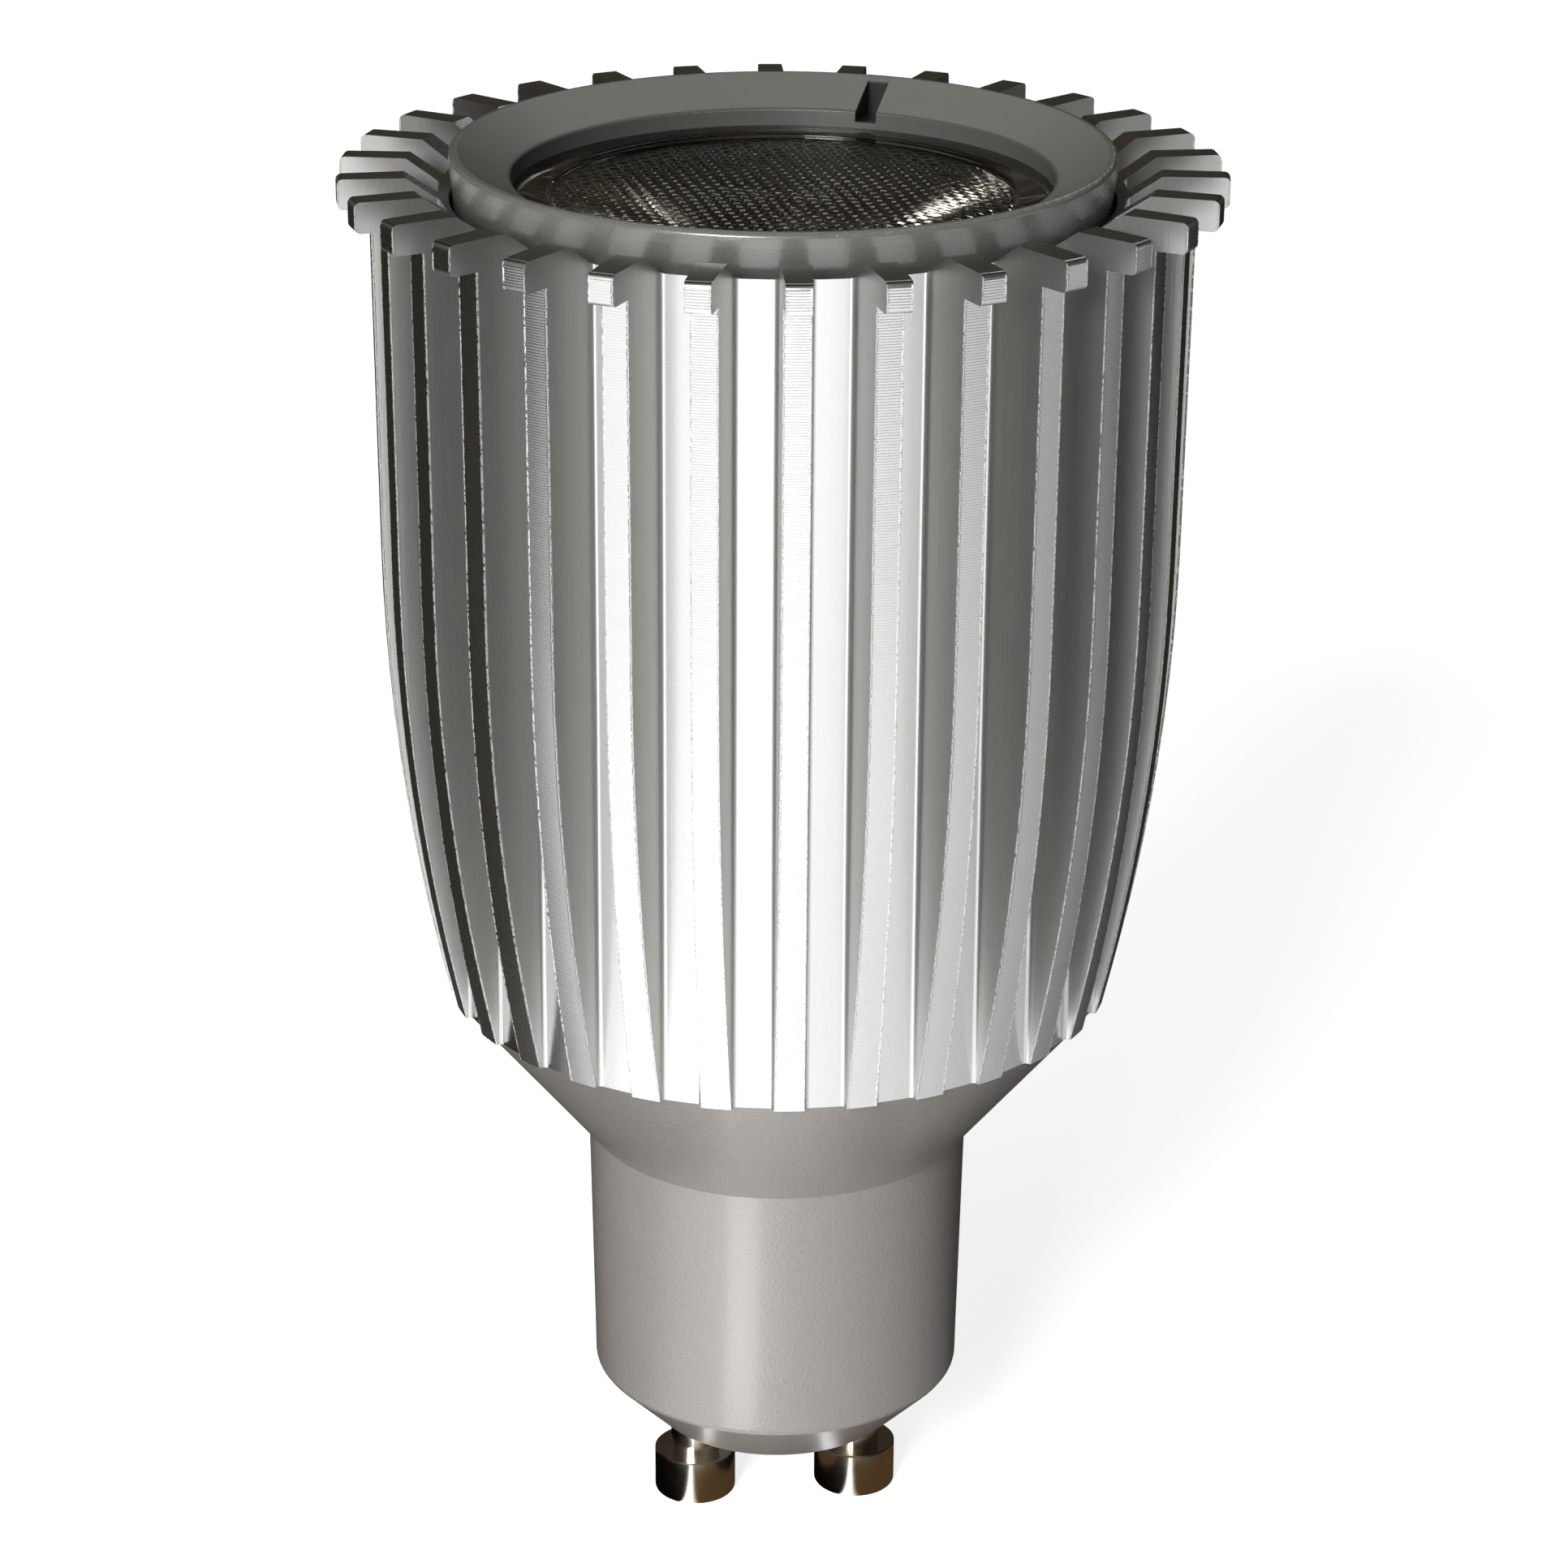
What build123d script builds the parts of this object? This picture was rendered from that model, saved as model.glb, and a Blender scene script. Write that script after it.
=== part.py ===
from build123d import *
from math import cos, hypot, radians, sin, sqrt
import os

os.makedirs("parts", exist_ok=True)

# All sizes are millimetres. Z points from the contact pins to the lens,
# X runs along the pin line, and the pins end at Z = 0.

# Fits
slide_clearance = 0.25
close_clearance = 0.05
seat_gap = 0.2
lead_hole_clearance = 0.6
match_tolerance = 0.01
trim_allowance = 1.0

# Contact pins
pin_spacing = 10.0
pin_head_radius = 2.5
pin_head_height = 2.9
pin_head_edge = 0.25
pin_shoulder_edge = 0.08
pin_stem_radius = 1.5
pin_neck_length = 3.4
pin_collar_radius = 2.1
pin_collar_height = 0.6
pin_tail_radius = 0.9
pin_tail_length = 2.4

# Base housing, from the flat foot up to the heatsink
foot_radius = 7.7
foot_thickness = 2.0
foot_edge = 0.2
bevel_height = 3.4
neck_bottom_radius = 11.1
neck_top_radius = 11.4
neck_length = 15.9
neck_edge = 0.5
cone_height = 9.7
base_wall = 1.6
sleeve_wall = 1.2
boss_radius = 2.2
boss_depth = 12.0

# Heatsink: a finned extrusion, bored and turned to its curved outline
sink_height = 49.3
core_radius = 19.3
fin_count = 30
fin_turn = 2.03
fin_tip_radius = 25.0
fin_tip_thickness = 1.42
fin_root_thickness = 1.75
fin_root_fillet = 0.3
fin_burial = 1.0
tab_height = 1.75
tab_edge = 0.35
shoulder_radius = 23.2
waist_radius = 23.03
waist_drop = 20.0
fin_foot_radius = 19.7
rim_slope_radius = 21.2
rim_drop = 1.3
recess_radius = 18.75
recess_depth = 4.6
chamber_radius = 17.0
chamber_depth = 16.0
web_thickness = 6.0
lower_bore_radius = 16.2

# Bezel ring
ring_stand = 1.0
ring_outer_radius = 18.73
ring_edge = 0.3
ring_band_height = 0.8
ring_taper_height = 1.8
ring_flat_width = 0.5
ring_bore_radius = 15.28
ring_bevel_drop = 1.55
ring_wall_height = 0.95
ring_bore_edge = 0.12
notch_width = 1.3
notch_angle = 65.6
notch_end_radius = 17.9
notch_floor_drop = 0.6

# Lens and its holder
lens_flange_radius = 16.5
lens_flange_thickness = 1.2
lens_face_radius = 13.2
lens_face_drop = 0.35
lens_waist_radius = 15.3
lens_nose_radius = 5.6
lens_bulge = 0.8
lens_well_radius = 3.6
lens_well_depth = 5.5
holder_gap = 0.35
holder_foot_radius = 8.0
holder_foot_height = 1.9
holder_shoulder_drop = 3.4

# Light source
pad_thickness = 0.3
led_board_radius = 11.5
led_board_thickness = 1.6
led_package_width = 7.0
led_package_height = 0.5
led_dam_radius = 3.1
led_dam_width = 0.5
led_dam_height = 0.25
led_phosphor_height = 0.2

# Screws
board_screw_radius = 1.0
board_screw_reach = 9.6
board_screw_head_radius = 1.55
board_screw_head_height = 1.2
board_screw_length = 5.6
housing_screw_radius = 1.2
housing_screw_reach = 13.5
housing_screw_head_radius = 1.7
housing_screw_head_height = 1.5
housing_screw_length = 16.5
screw_slot_width = 0.45
screw_slot_depth = 0.6
screw_point_chamfer = 0.35

# Insulating cap over the driver
cap_thickness = 0.8

# Driver board
driver_board_thickness = 1.2
driver_board_offset = 4.0
driver_board_rise = 4.2
driver_board_top_gap = 2.5
driver_tongue_width = 16.0
driver_head_width = 24.8
driver_shoulder_rise = 7.4
guide_height = 12.0
guide_width = 1.2
guide_grip = 1.0

# Leads
mains_lead_radius = 0.6
mains_lead_rise = 5.2
mains_lead_bend = 1.8
led_lead_radius = 0.5
led_lead_angle = 60.0
led_lead_reach = 13.8
led_lead_start_reach = 9.2
led_lead_bend = 1.8
led_lead_drop = 7.5

# Driver components
component_gap = 0.15
component_leg_radius = 0.3
component_leg_rise = 0.9
transformer_rise = 6.0
transformer_width = 13.2
transformer_height = 13.0
core_leg_width = 1.6
core_middle_width = 3.4
core_depth = 5.0
core_yoke_height = 2.0
core_clearance = 0.1
bobbin_depth = 10.0
bobbin_flange_height = 0.8
bobbin_tube_wall = 0.5
winding_margin = 0.35
winding_corner = 1.2
input_capacitor_rise = 5.4
input_capacitor_radius = 4.0
input_capacitor_length = 12.0
film_capacitor_width = 9.0
film_capacitor_depth = 7.0
film_capacitor_height = 3.3
output_capacitor_radius = 3.1
output_capacitor_length = 11.0
side_component_gap = 0.4
side_component_rise = 1.5
choke_radius = 3.1
choke_length = 9.0
choke_flange_height = 1.2
choke_post_radius = 1.4
can_groove_depth = 0.3
can_edge = 0.5
bridge_width = 4.8
bridge_height = 4.0
bridge_depth = 2.4
chip_width = 3.9
chip_height = 5.0
chip_depth = 1.5
chip_leg_count = 4
chip_leg_width = 0.45
chip_leg_reach = 1.0
chip_edge = 0.25
resistor_radius = 1.3
resistor_length = 6.2

# Heights of the main levels above the pin ends
foot_level = pin_head_height + pin_neck_length
inner_floor_level = foot_level + foot_thickness
bevel_level = foot_level + bevel_height
cone_level = bevel_level + neck_length
sink_bottom_level = cone_level + cone_height
fin_top_level = sink_bottom_level + sink_height
tab_bottom_level = fin_top_level - tab_height
waist_level = tab_bottom_level - waist_drop
recess_floor_level = fin_top_level - recess_depth
web_top_level = recess_floor_level - chamber_depth
web_bottom_level = web_top_level - web_thickness
ring_top_level = fin_top_level + ring_stand
ring_bevel_level = ring_top_level - ring_bevel_drop
lens_top_level = ring_bevel_level - ring_wall_height
lens_flange_level = lens_top_level - lens_flange_thickness
pad_top_level = web_top_level + pad_thickness
led_board_top_level = pad_top_level + led_board_thickness
led_package_top_level = led_board_top_level + led_package_height
lens_nose_level = led_package_top_level + seat_gap
cap_top_level = web_bottom_level - seat_gap
sleeve_top_level = cap_top_level - cap_thickness

# Radii that follow from a fit
sleeve_outer_radius = lower_bore_radius - slide_clearance
sleeve_inner_radius = sleeve_outer_radius - sleeve_wall
neck_inner_radius = neck_bottom_radius - base_wall
ring_skirt_radius = recess_radius - slide_clearance
ring_skirt_inner_radius = lens_flange_radius + slide_clearance
holder_rim_radius = chamber_radius - slide_clearance

# Driver board planes
board_front = driver_board_offset - driver_board_thickness / 2
board_back = driver_board_offset + driver_board_thickness / 2
driver_board_bottom_level = inner_floor_level + driver_board_rise
driver_board_top_level = sleeve_top_level - driver_board_top_gap
driver_tongue_level = cone_level + base_wall
driver_shoulder_level = cone_level + driver_shoulder_rise

BOTTOM = (Align.CENTER, Align.CENTER, Align.MIN)
TOP = (Align.CENTER, Align.CENTER, Align.MAX)
pin_places = [(-pin_spacing / 2, 0), (pin_spacing / 2, 0)]
board_screw_places = [(-board_screw_reach, 0), (board_screw_reach, 0)]
housing_screw_places = [(0, -housing_screw_reach), (0, housing_screw_reach)]
led_lead_x = led_lead_reach * cos(radians(led_lead_angle))
led_lead_y = led_lead_reach * sin(radians(led_lead_angle))
led_lead_places = [(-led_lead_x, led_lead_y), (led_lead_x, led_lead_y)]


def drill(places, level, radius, depth):
    """Cuts a round hole down from a level at each place of the part being built."""
    with Locations(*[(x, y, level) for x, y in places]):
        Cylinder(radius, depth, align=TOP, mode=Mode.SUBTRACT)


def add_screws(places, seat, head_radius, head_height, shank_radius, length):
    """Adds a slotted round-head screw at each place, its head standing on the seat."""
    with Locations(*[(x, y, seat) for x, y in places]):
        Cylinder(head_radius, head_height, align=BOTTOM)
        Cylinder(shank_radius, length, align=TOP)
    head_tops = edges().filter_by(GeomType.CIRCLE).group_by(Axis.Z)[-1]
    fillet(head_tops, head_height / 2)
    with Locations(*[(x, y, seat + head_height) for x, y in places]):
        Box(2 * head_radius, screw_slot_width, screw_slot_depth, align=TOP, mode=Mode.SUBTRACT)
    shank_ends = edges().filter_by(GeomType.CIRCLE).group_by(Axis.Z)[0]
    chamfer(shank_ends, screw_point_chamfer)


def lead_along(points, bends, radius):
    """Adds a round wire that follows straight runs joined by tangent bends."""
    with BuildLine() as route:
        FilletPolyline(*points, radius=bends)
    with BuildSketch(Plane(origin=route.line @ 0, z_dir=route.line % 0)) as wire_section:
        Circle(radius)
    sweep(wire_section.sketch, path=route.line)


def add_legs(x, y, level, spread):
    """Adds the two wire legs of a standing part: down from its end, then back to the board."""
    for side in (-spread / 2, spread / 2):
        with Locations((x + side, y, level)):
            Cylinder(component_leg_radius, component_leg_rise, align=TOP)
        with BuildSketch(Plane.XZ.offset(-y)) as leg_section:
            with Locations((x + side, level - component_leg_rise)):
                Circle(component_leg_radius)
        extrude(leg_section.sketch, amount=-(board_front - y))


# Contact pins: turned, nickel plated, swaged through the foot of the base
for pin_name, pin_place in zip(("contact_pin_left", "contact_pin_right"), pin_places):
    with BuildPart() as contact_pin:
        with Locations(pin_place):
            Cylinder(pin_head_radius, pin_head_height, align=BOTTOM)
        fillet(edges().filter_by(GeomType.CIRCLE).group_by(Axis.Z)[0], pin_head_edge)
        chamfer(edges().filter_by(GeomType.CIRCLE).group_by(Axis.Z)[-1], pin_shoulder_edge)
        with Locations((*pin_place, pin_head_height)):
            Cylinder(pin_stem_radius, pin_neck_length + foot_thickness, align=BOTTOM)
        with Locations((*pin_place, inner_floor_level)):
            Cylinder(pin_collar_radius, pin_collar_height, align=BOTTOM)
        with Locations((*pin_place, inner_floor_level + pin_collar_height)):
            Cylinder(pin_tail_radius, pin_tail_length, align=BOTTOM)
    contact_pin.part.label = pin_name
    export_step(contact_pin.part, "parts/" + pin_name + ".step")

# Base housing: one moulding of foot, bevel, neck, cone and the sleeve inside the heatsink
cone_slope = (core_radius - neck_top_radius) / cone_height
cone_wall_across = base_wall * sqrt(1 + cone_slope ** 2)
inner_cone_start = neck_top_radius - cone_wall_across
inner_cone_bottom_level = cone_level + (neck_inner_radius - inner_cone_start) / cone_slope
inner_cone_top_level = cone_level + (sleeve_inner_radius - inner_cone_start) / cone_slope
bevel_slope = (neck_bottom_radius - foot_radius) / bevel_height
inner_bevel_start = foot_radius - base_wall * sqrt(1 + bevel_slope ** 2)
inner_foot_radius = inner_bevel_start + foot_thickness * bevel_slope
inner_bevel_level = foot_level + (neck_inner_radius - inner_bevel_start) / bevel_slope
with BuildPart() as base_housing:
    with BuildSketch(Plane.XZ):
        with BuildLine():
            Polyline(
                (0, foot_level),
                (foot_radius, foot_level),
                (neck_bottom_radius, bevel_level),
                (neck_top_radius, cone_level),
                (core_radius, sink_bottom_level),
                (sleeve_outer_radius, sink_bottom_level),
                (sleeve_outer_radius, sleeve_top_level),
                (0, sleeve_top_level),
                close=True,
            )
        make_face()
    revolve(axis=Axis.Z)
    outer_circles = edges().filter_by(GeomType.CIRCLE).group_by(Axis.Z)
    fillet(outer_circles[1], neck_edge)
    fillet(edges().filter_by(GeomType.CIRCLE).group_by(Axis.Z)[0], foot_edge)
    with BuildSketch(Plane.XZ):
        with BuildLine():
            Polyline(
                (0, inner_floor_level),
                (inner_foot_radius, inner_floor_level),
                (neck_inner_radius, inner_bevel_level),
                (neck_inner_radius, inner_cone_bottom_level),
                (sleeve_inner_radius, inner_cone_top_level),
                (sleeve_inner_radius, sleeve_top_level),
                (0, sleeve_top_level),
                close=True,
            )
        make_face()
    revolve(axis=Axis.Z, mode=Mode.SUBTRACT)
    drill(pin_places, inner_floor_level, pin_stem_radius + close_clearance, foot_thickness)

    # Screw bosses run up the sleeve and stay inside its outer face
    with BuildSketch(Plane.XY.offset(sleeve_top_level)):
        with Locations(*housing_screw_places):
            Circle(boss_radius)
        Circle((sleeve_inner_radius + sleeve_outer_radius) / 2, mode=Mode.INTERSECT)
    extrude(amount=-boss_depth)
    pilot_depth = housing_screw_length - (web_top_level - sleeve_top_level) + seat_gap
    drill(housing_screw_places, sleeve_top_level, housing_screw_radius + close_clearance, pilot_depth)

    # Two grooved rails in the neck carry the edges of the driver board
    guide_inner_reach = driver_tongue_width / 2 - guide_grip
    guide_full_width = driver_board_thickness + 2 * (close_clearance + guide_width)
    with BuildSketch(Plane.XY.offset(inner_bevel_level)):
        with Locations((0, driver_board_offset)):
            Rectangle(2 * neck_bottom_radius, guide_full_width)
            Rectangle(2 * guide_inner_reach, guide_full_width, mode=Mode.SUBTRACT)
        Circle((neck_inner_radius + neck_bottom_radius) / 2, mode=Mode.INTERSECT)
    extrude(amount=driver_board_bottom_level + guide_height - inner_bevel_level)
    with Locations((0, driver_board_offset, driver_board_bottom_level)):
        Box(
            driver_tongue_width + 2 * close_clearance,
            driver_board_thickness + 2 * close_clearance,
            guide_height,
            align=BOTTOM,
            mode=Mode.SUBTRACT,
        )
base_housing.part.label = "base_housing"
export_step(base_housing.part, "parts/base_housing.step")

# Heatsink
fin_taper = (fin_root_thickness - fin_tip_thickness) / (fin_tip_radius - core_radius)
fin_buried_radius = core_radius - fin_burial
fin_buried_half = (fin_root_thickness + fin_taper * fin_burial) / 2
fin_blank_radius = fin_tip_radius + trim_allowance
fin_blank_half = (fin_tip_thickness - fin_taper * trim_allowance) / 2
rim_slope = rim_drop / (rim_slope_radius - core_radius)
rim_bottom_level = fin_top_level - rim_slope * (rim_slope_radius - recess_radius)
with BuildPart() as heatsink:
    with BuildSketch(Plane.XY.offset(sink_bottom_level)) as fin_section:
        Circle(core_radius)
        with PolarLocations(0, fin_count, start_angle=fin_turn):
            Polygon(
                (fin_buried_radius, -fin_buried_half),
                (fin_blank_radius, -fin_blank_half),
                (fin_blank_radius, fin_blank_half),
                (fin_buried_radius, fin_buried_half),
                align=None,
            )
        fin_roots = vertices().filter_by(lambda v: abs(hypot(v.X, v.Y) - core_radius) < match_tolerance)
        fillet(fin_roots, fin_root_fillet)
    extrude(amount=sink_height)
    with BuildSketch(Plane.XZ):
        with BuildLine():
            shoulder = Line((shoulder_radius, tab_bottom_level), (waist_radius, waist_level))
            TangentArc(shoulder @ 1, (fin_foot_radius, sink_bottom_level), tangent=shoulder % 1)
            Polyline(
                (fin_foot_radius, sink_bottom_level),
                (0, sink_bottom_level),
                (0, rim_bottom_level),
                (recess_radius, rim_bottom_level),
                (rim_slope_radius, fin_top_level),
                (fin_tip_radius, fin_top_level),
                (fin_tip_radius, tab_bottom_level),
                (shoulder_radius, tab_bottom_level),
            )
        make_face()
        fillet(vertices().sort_by(Axis.X)[-2:], tab_edge)
    revolve(axis=Axis.Z, mode=Mode.INTERSECT)
    drill([(0, 0)], fin_top_level, recess_radius, recess_depth)
    drill([(0, 0)], recess_floor_level, chamber_radius, chamber_depth)
    drill([(0, 0)], web_bottom_level, lower_bore_radius, web_bottom_level - sink_bottom_level)
    drill(housing_screw_places, web_top_level, housing_screw_radius + seat_gap, web_thickness)
    drill(led_lead_places, web_top_level, led_lead_radius + lead_hole_clearance, web_thickness)
    tapped_depth = board_screw_length - led_board_thickness - pad_thickness + seat_gap
    drill(board_screw_places, web_top_level, board_screw_radius + close_clearance, tapped_depth)
heatsink.part.label = "heatsink"
export_step(heatsink.part, "parts/heatsink.step")

# Bezel ring: holds the lens down, with a tool notch in its bevel
with BuildPart() as bezel_ring:
    with BuildSketch(Plane.XZ):
        with BuildLine():
            Polyline(
                (ring_outer_radius, ring_top_level),
                (ring_outer_radius, ring_top_level - ring_band_height),
                (ring_skirt_radius, ring_top_level - ring_band_height - ring_taper_height),
                (ring_skirt_radius, recess_floor_level),
                (ring_skirt_inner_radius, recess_floor_level),
                (ring_skirt_inner_radius, lens_top_level),
                (ring_bore_radius, lens_top_level),
                (ring_bore_radius, ring_bevel_level),
                (ring_outer_radius - ring_flat_width, ring_top_level),
                close=True,
            )
        make_face()
        rim_corner = vertices().sort_by(Axis.X)[-2:].sort_by(Axis.Y)[-1]
        fillet(rim_corner, ring_edge)
        bore_corners = vertices().filter_by(lambda v: abs(v.X - ring_bore_radius) < match_tolerance)
        fillet(bore_corners.sort_by(Axis.Y)[-1], ring_bore_edge)
    revolve(axis=Axis.Z)
    with Locations(Location((0, 0, ring_bevel_level - notch_floor_drop), (0, 0, notch_angle))):
        Box(
            notch_end_radius,
            notch_width,
            ring_bevel_drop + notch_floor_drop,
            align=(Align.MIN, Align.CENTER, Align.MIN),
            mode=Mode.SUBTRACT,
        )
bezel_ring.part.label = "bezel_ring"
export_step(bezel_ring.part, "parts/bezel_ring.step")

# Lens: a clear collimator whose flange is held between ring and holder
with BuildPart() as lens:
    with BuildSketch(Plane.XZ):
        with BuildLine():
            Polyline(
                (lens_nose_radius, lens_nose_level),
                (lens_well_radius, lens_nose_level),
                (lens_well_radius, lens_nose_level + lens_well_depth),
                (0, lens_nose_level + lens_well_depth),
                (0, lens_top_level - lens_face_drop),
                (lens_face_radius, lens_top_level - lens_face_drop),
                (lens_face_radius, lens_top_level),
                (lens_flange_radius, lens_top_level),
                (lens_flange_radius, lens_flange_level),
                (lens_waist_radius, lens_flange_level),
            )
            SagittaArc(
                (lens_waist_radius, lens_flange_level),
                (lens_nose_radius, lens_nose_level),
                lens_bulge,
            )
        make_face()
    revolve(axis=Axis.Z)
lens.part.label = "lens"
export_step(lens.part, "parts/lens.step")

# Lens holder: a cup that stands on the light board and carries the lens flange
with BuildPart() as lens_holder:
    with BuildSketch(Plane.XZ):
        with BuildLine():
            SagittaArc(
                (lens_waist_radius + holder_gap, lens_flange_level),
                (lens_nose_radius + holder_gap, lens_nose_level),
                lens_bulge,
            )
            Polyline(
                (lens_nose_radius + holder_gap, lens_nose_level),
                (lens_nose_radius + holder_gap, led_board_top_level),
                (holder_foot_radius, led_board_top_level),
                (holder_foot_radius, led_board_top_level + holder_foot_height),
                (holder_rim_radius, lens_flange_level - holder_shoulder_drop),
                (holder_rim_radius, lens_flange_level),
                (lens_waist_radius + holder_gap, lens_flange_level),
            )
        make_face()
    revolve(axis=Axis.Z)
lens_holder.part.label = "lens_holder"
export_step(lens_holder.part, "parts/lens_holder.step")

# Thermal pad under the light board
with BuildPart() as thermal_pad:
    with Locations((0, 0, web_top_level)):
        Cylinder(led_board_radius, pad_thickness, align=BOTTOM)
    drill(board_screw_places, pad_top_level, board_screw_radius + seat_gap, pad_thickness)
thermal_pad.part.label = "thermal_pad"
export_step(thermal_pad.part, "parts/thermal_pad.step")

# Light board
with BuildPart() as led_board:
    with Locations((0, 0, pad_top_level)):
        Cylinder(led_board_radius, led_board_thickness, align=BOTTOM)
    drill(
        board_screw_places,
        led_board_top_level,
        board_screw_radius + close_clearance,
        led_board_thickness,
    )
led_board.part.label = "led_board"
export_step(led_board.part, "parts/led_board.step")

# Light source: ceramic package with a round dam, filled with phosphor
with BuildPart() as led_package:
    with Locations((0, 0, led_board_top_level)):
        Box(led_package_width, led_package_width, led_package_height, align=BOTTOM)
    with BuildSketch(Plane.XY.offset(led_package_top_level)):
        Circle(led_dam_radius)
        Circle(led_dam_radius - led_dam_width, mode=Mode.SUBTRACT)
    extrude(amount=led_dam_height)
led_package.part.label = "led_package"
export_step(led_package.part, "parts/led_package.step")

with BuildPart() as led_phosphor:
    with Locations((0, 0, led_package_top_level)):
        Cylinder(led_dam_radius - led_dam_width, led_phosphor_height, align=BOTTOM)
led_phosphor.part.label = "led_phosphor"
export_step(led_phosphor.part, "parts/led_phosphor.step")

# Screws that clamp the light board, and screws that pull the base up to the heatsink
with BuildPart() as board_screws:
    add_screws(
        board_screw_places,
        led_board_top_level,
        board_screw_head_radius,
        board_screw_head_height,
        board_screw_radius,
        board_screw_length,
    )
board_screws.part.label = "board_screws"
export_step(board_screws.part, "parts/board_screws.step")

with BuildPart() as housing_screws:
    add_screws(
        housing_screw_places,
        web_top_level,
        housing_screw_head_radius,
        housing_screw_head_height,
        housing_screw_radius,
        housing_screw_length,
    )
housing_screws.part.label = "housing_screws"
export_step(housing_screws.part, "parts/housing_screws.step")

# Insulating cap: closes the driver compartment under the web
with BuildPart() as insulating_cap:
    with Locations((0, 0, sleeve_top_level)):
        Cylinder(sleeve_outer_radius, cap_thickness, align=BOTTOM)
    drill(housing_screw_places, cap_top_level, housing_screw_radius + seat_gap, cap_thickness)
    drill(led_lead_places, cap_top_level, led_lead_radius + seat_gap, cap_thickness)
insulating_cap.part.label = "insulating_cap"
export_step(insulating_cap.part, "parts/insulating_cap.step")

# Driver board: a tongue in the neck and a wider head in the sleeve
with BuildPart() as driver_board:
    with BuildSketch(Plane.XZ.offset(-board_front)):
        with BuildLine():
            Polyline(
                (-driver_tongue_width / 2, driver_board_bottom_level),
                (driver_tongue_width / 2, driver_board_bottom_level),
                (driver_tongue_width / 2, driver_tongue_level),
                (driver_head_width / 2, driver_shoulder_level),
                (driver_head_width / 2, driver_board_top_level),
                (-driver_head_width / 2, driver_board_top_level),
                (-driver_head_width / 2, driver_shoulder_level),
                (-driver_tongue_width / 2, driver_tongue_level),
                close=True,
            )
        make_face()
    extrude(amount=-driver_board_thickness)
driver_board.part.label = "driver_board"
export_step(driver_board.part, "parts/driver_board.step")

# Mains leads: from each pin's tail to the driver board
pin_tail_level = inner_floor_level + pin_collar_height + pin_tail_length
mains_turn_level = pin_tail_level + mains_lead_rise
for lead_name, (lead_x, lead_y) in zip(("mains_lead_left", "mains_lead_right"), pin_places):
    with BuildPart() as mains_lead:
        lead_along(
            [
                (lead_x, lead_y, pin_tail_level),
                (lead_x, lead_y, mains_turn_level),
                (lead_x, board_front, mains_turn_level),
            ],
            [mains_lead_bend],
            mains_lead_radius,
        )
    mains_lead.part.label = lead_name
    export_step(mains_lead.part, "parts/" + lead_name + ".step")

# Light leads: from the light board out, down through the web and in to the driver board
led_lead_level = led_board_top_level + led_lead_radius + close_clearance
led_lead_turn_level = sleeve_top_level - led_lead_drop
led_lead_start = led_lead_start_reach / led_lead_reach
for lead_name, (lead_x, lead_y) in zip(("led_lead_negative", "led_lead_positive"), led_lead_places):
    with BuildPart() as led_lead:
        lead_along(
            [
                (lead_x * led_lead_start, lead_y * led_lead_start, led_lead_level),
                (lead_x, lead_y, led_lead_level),
                (lead_x, lead_y, led_lead_turn_level),
                (lead_x, board_back, led_lead_turn_level),
            ],
            [led_lead_bend, led_lead_bend],
            led_lead_radius,
        )
    led_lead.part.label = lead_name
    export_step(led_lead.part, "parts/" + lead_name + ".step")

# Transformer: bobbin against the driver board, winding on it, ferrite core through it
transformer_bottom_level = driver_shoulder_level + transformer_rise
transformer_middle_level = transformer_bottom_level + transformer_height / 2
transformer_y = board_front - bobbin_depth / 2
core_window_height = transformer_height - 2 * core_yoke_height
core_window_width = transformer_width - 2 * core_leg_width
bobbin_width = core_window_width - 2 * seat_gap
tube_bore_width = core_middle_width + 2 * core_clearance
tube_bore_depth = core_depth + 2 * core_clearance
tube_width = tube_bore_width + 2 * bobbin_tube_wall
tube_depth = tube_bore_depth + 2 * bobbin_tube_wall
winding_height = core_window_height - 2 * bobbin_flange_height
with BuildPart() as transformer_core:
    with Locations((0, transformer_y, transformer_middle_level)):
        Box(transformer_width, core_depth, transformer_height)
        Box(core_window_width, core_depth, core_window_height, mode=Mode.SUBTRACT)
        Box(core_middle_width, core_depth, core_window_height)
transformer_core.part.label = "transformer_core"
export_step(transformer_core.part, "parts/transformer_core.step")

with BuildPart() as transformer_bobbin:
    with Locations((0, transformer_y, transformer_middle_level)):
        Box(bobbin_width, bobbin_depth, core_window_height)
        Box(bobbin_width, bobbin_depth, winding_height, mode=Mode.SUBTRACT)
        Box(tube_width, tube_depth, winding_height)
        Box(tube_bore_width, tube_bore_depth, core_window_height, mode=Mode.SUBTRACT)
transformer_bobbin.part.label = "transformer_bobbin"
export_step(transformer_bobbin.part, "parts/transformer_bobbin.step")

with BuildPart() as transformer_winding:
    with BuildSketch(Plane.XY.offset(transformer_middle_level - winding_height / 2)):
        with Locations((0, transformer_y)):
            RectangleRounded(
                bobbin_width - 2 * winding_margin,
                bobbin_depth - 2 * winding_margin,
                winding_corner,
            )
            Rectangle(tube_width, tube_depth, mode=Mode.SUBTRACT)
    extrude(amount=winding_height)
transformer_winding.part.label = "transformer_winding"
export_step(transformer_winding.part, "parts/transformer_winding.step")

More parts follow.
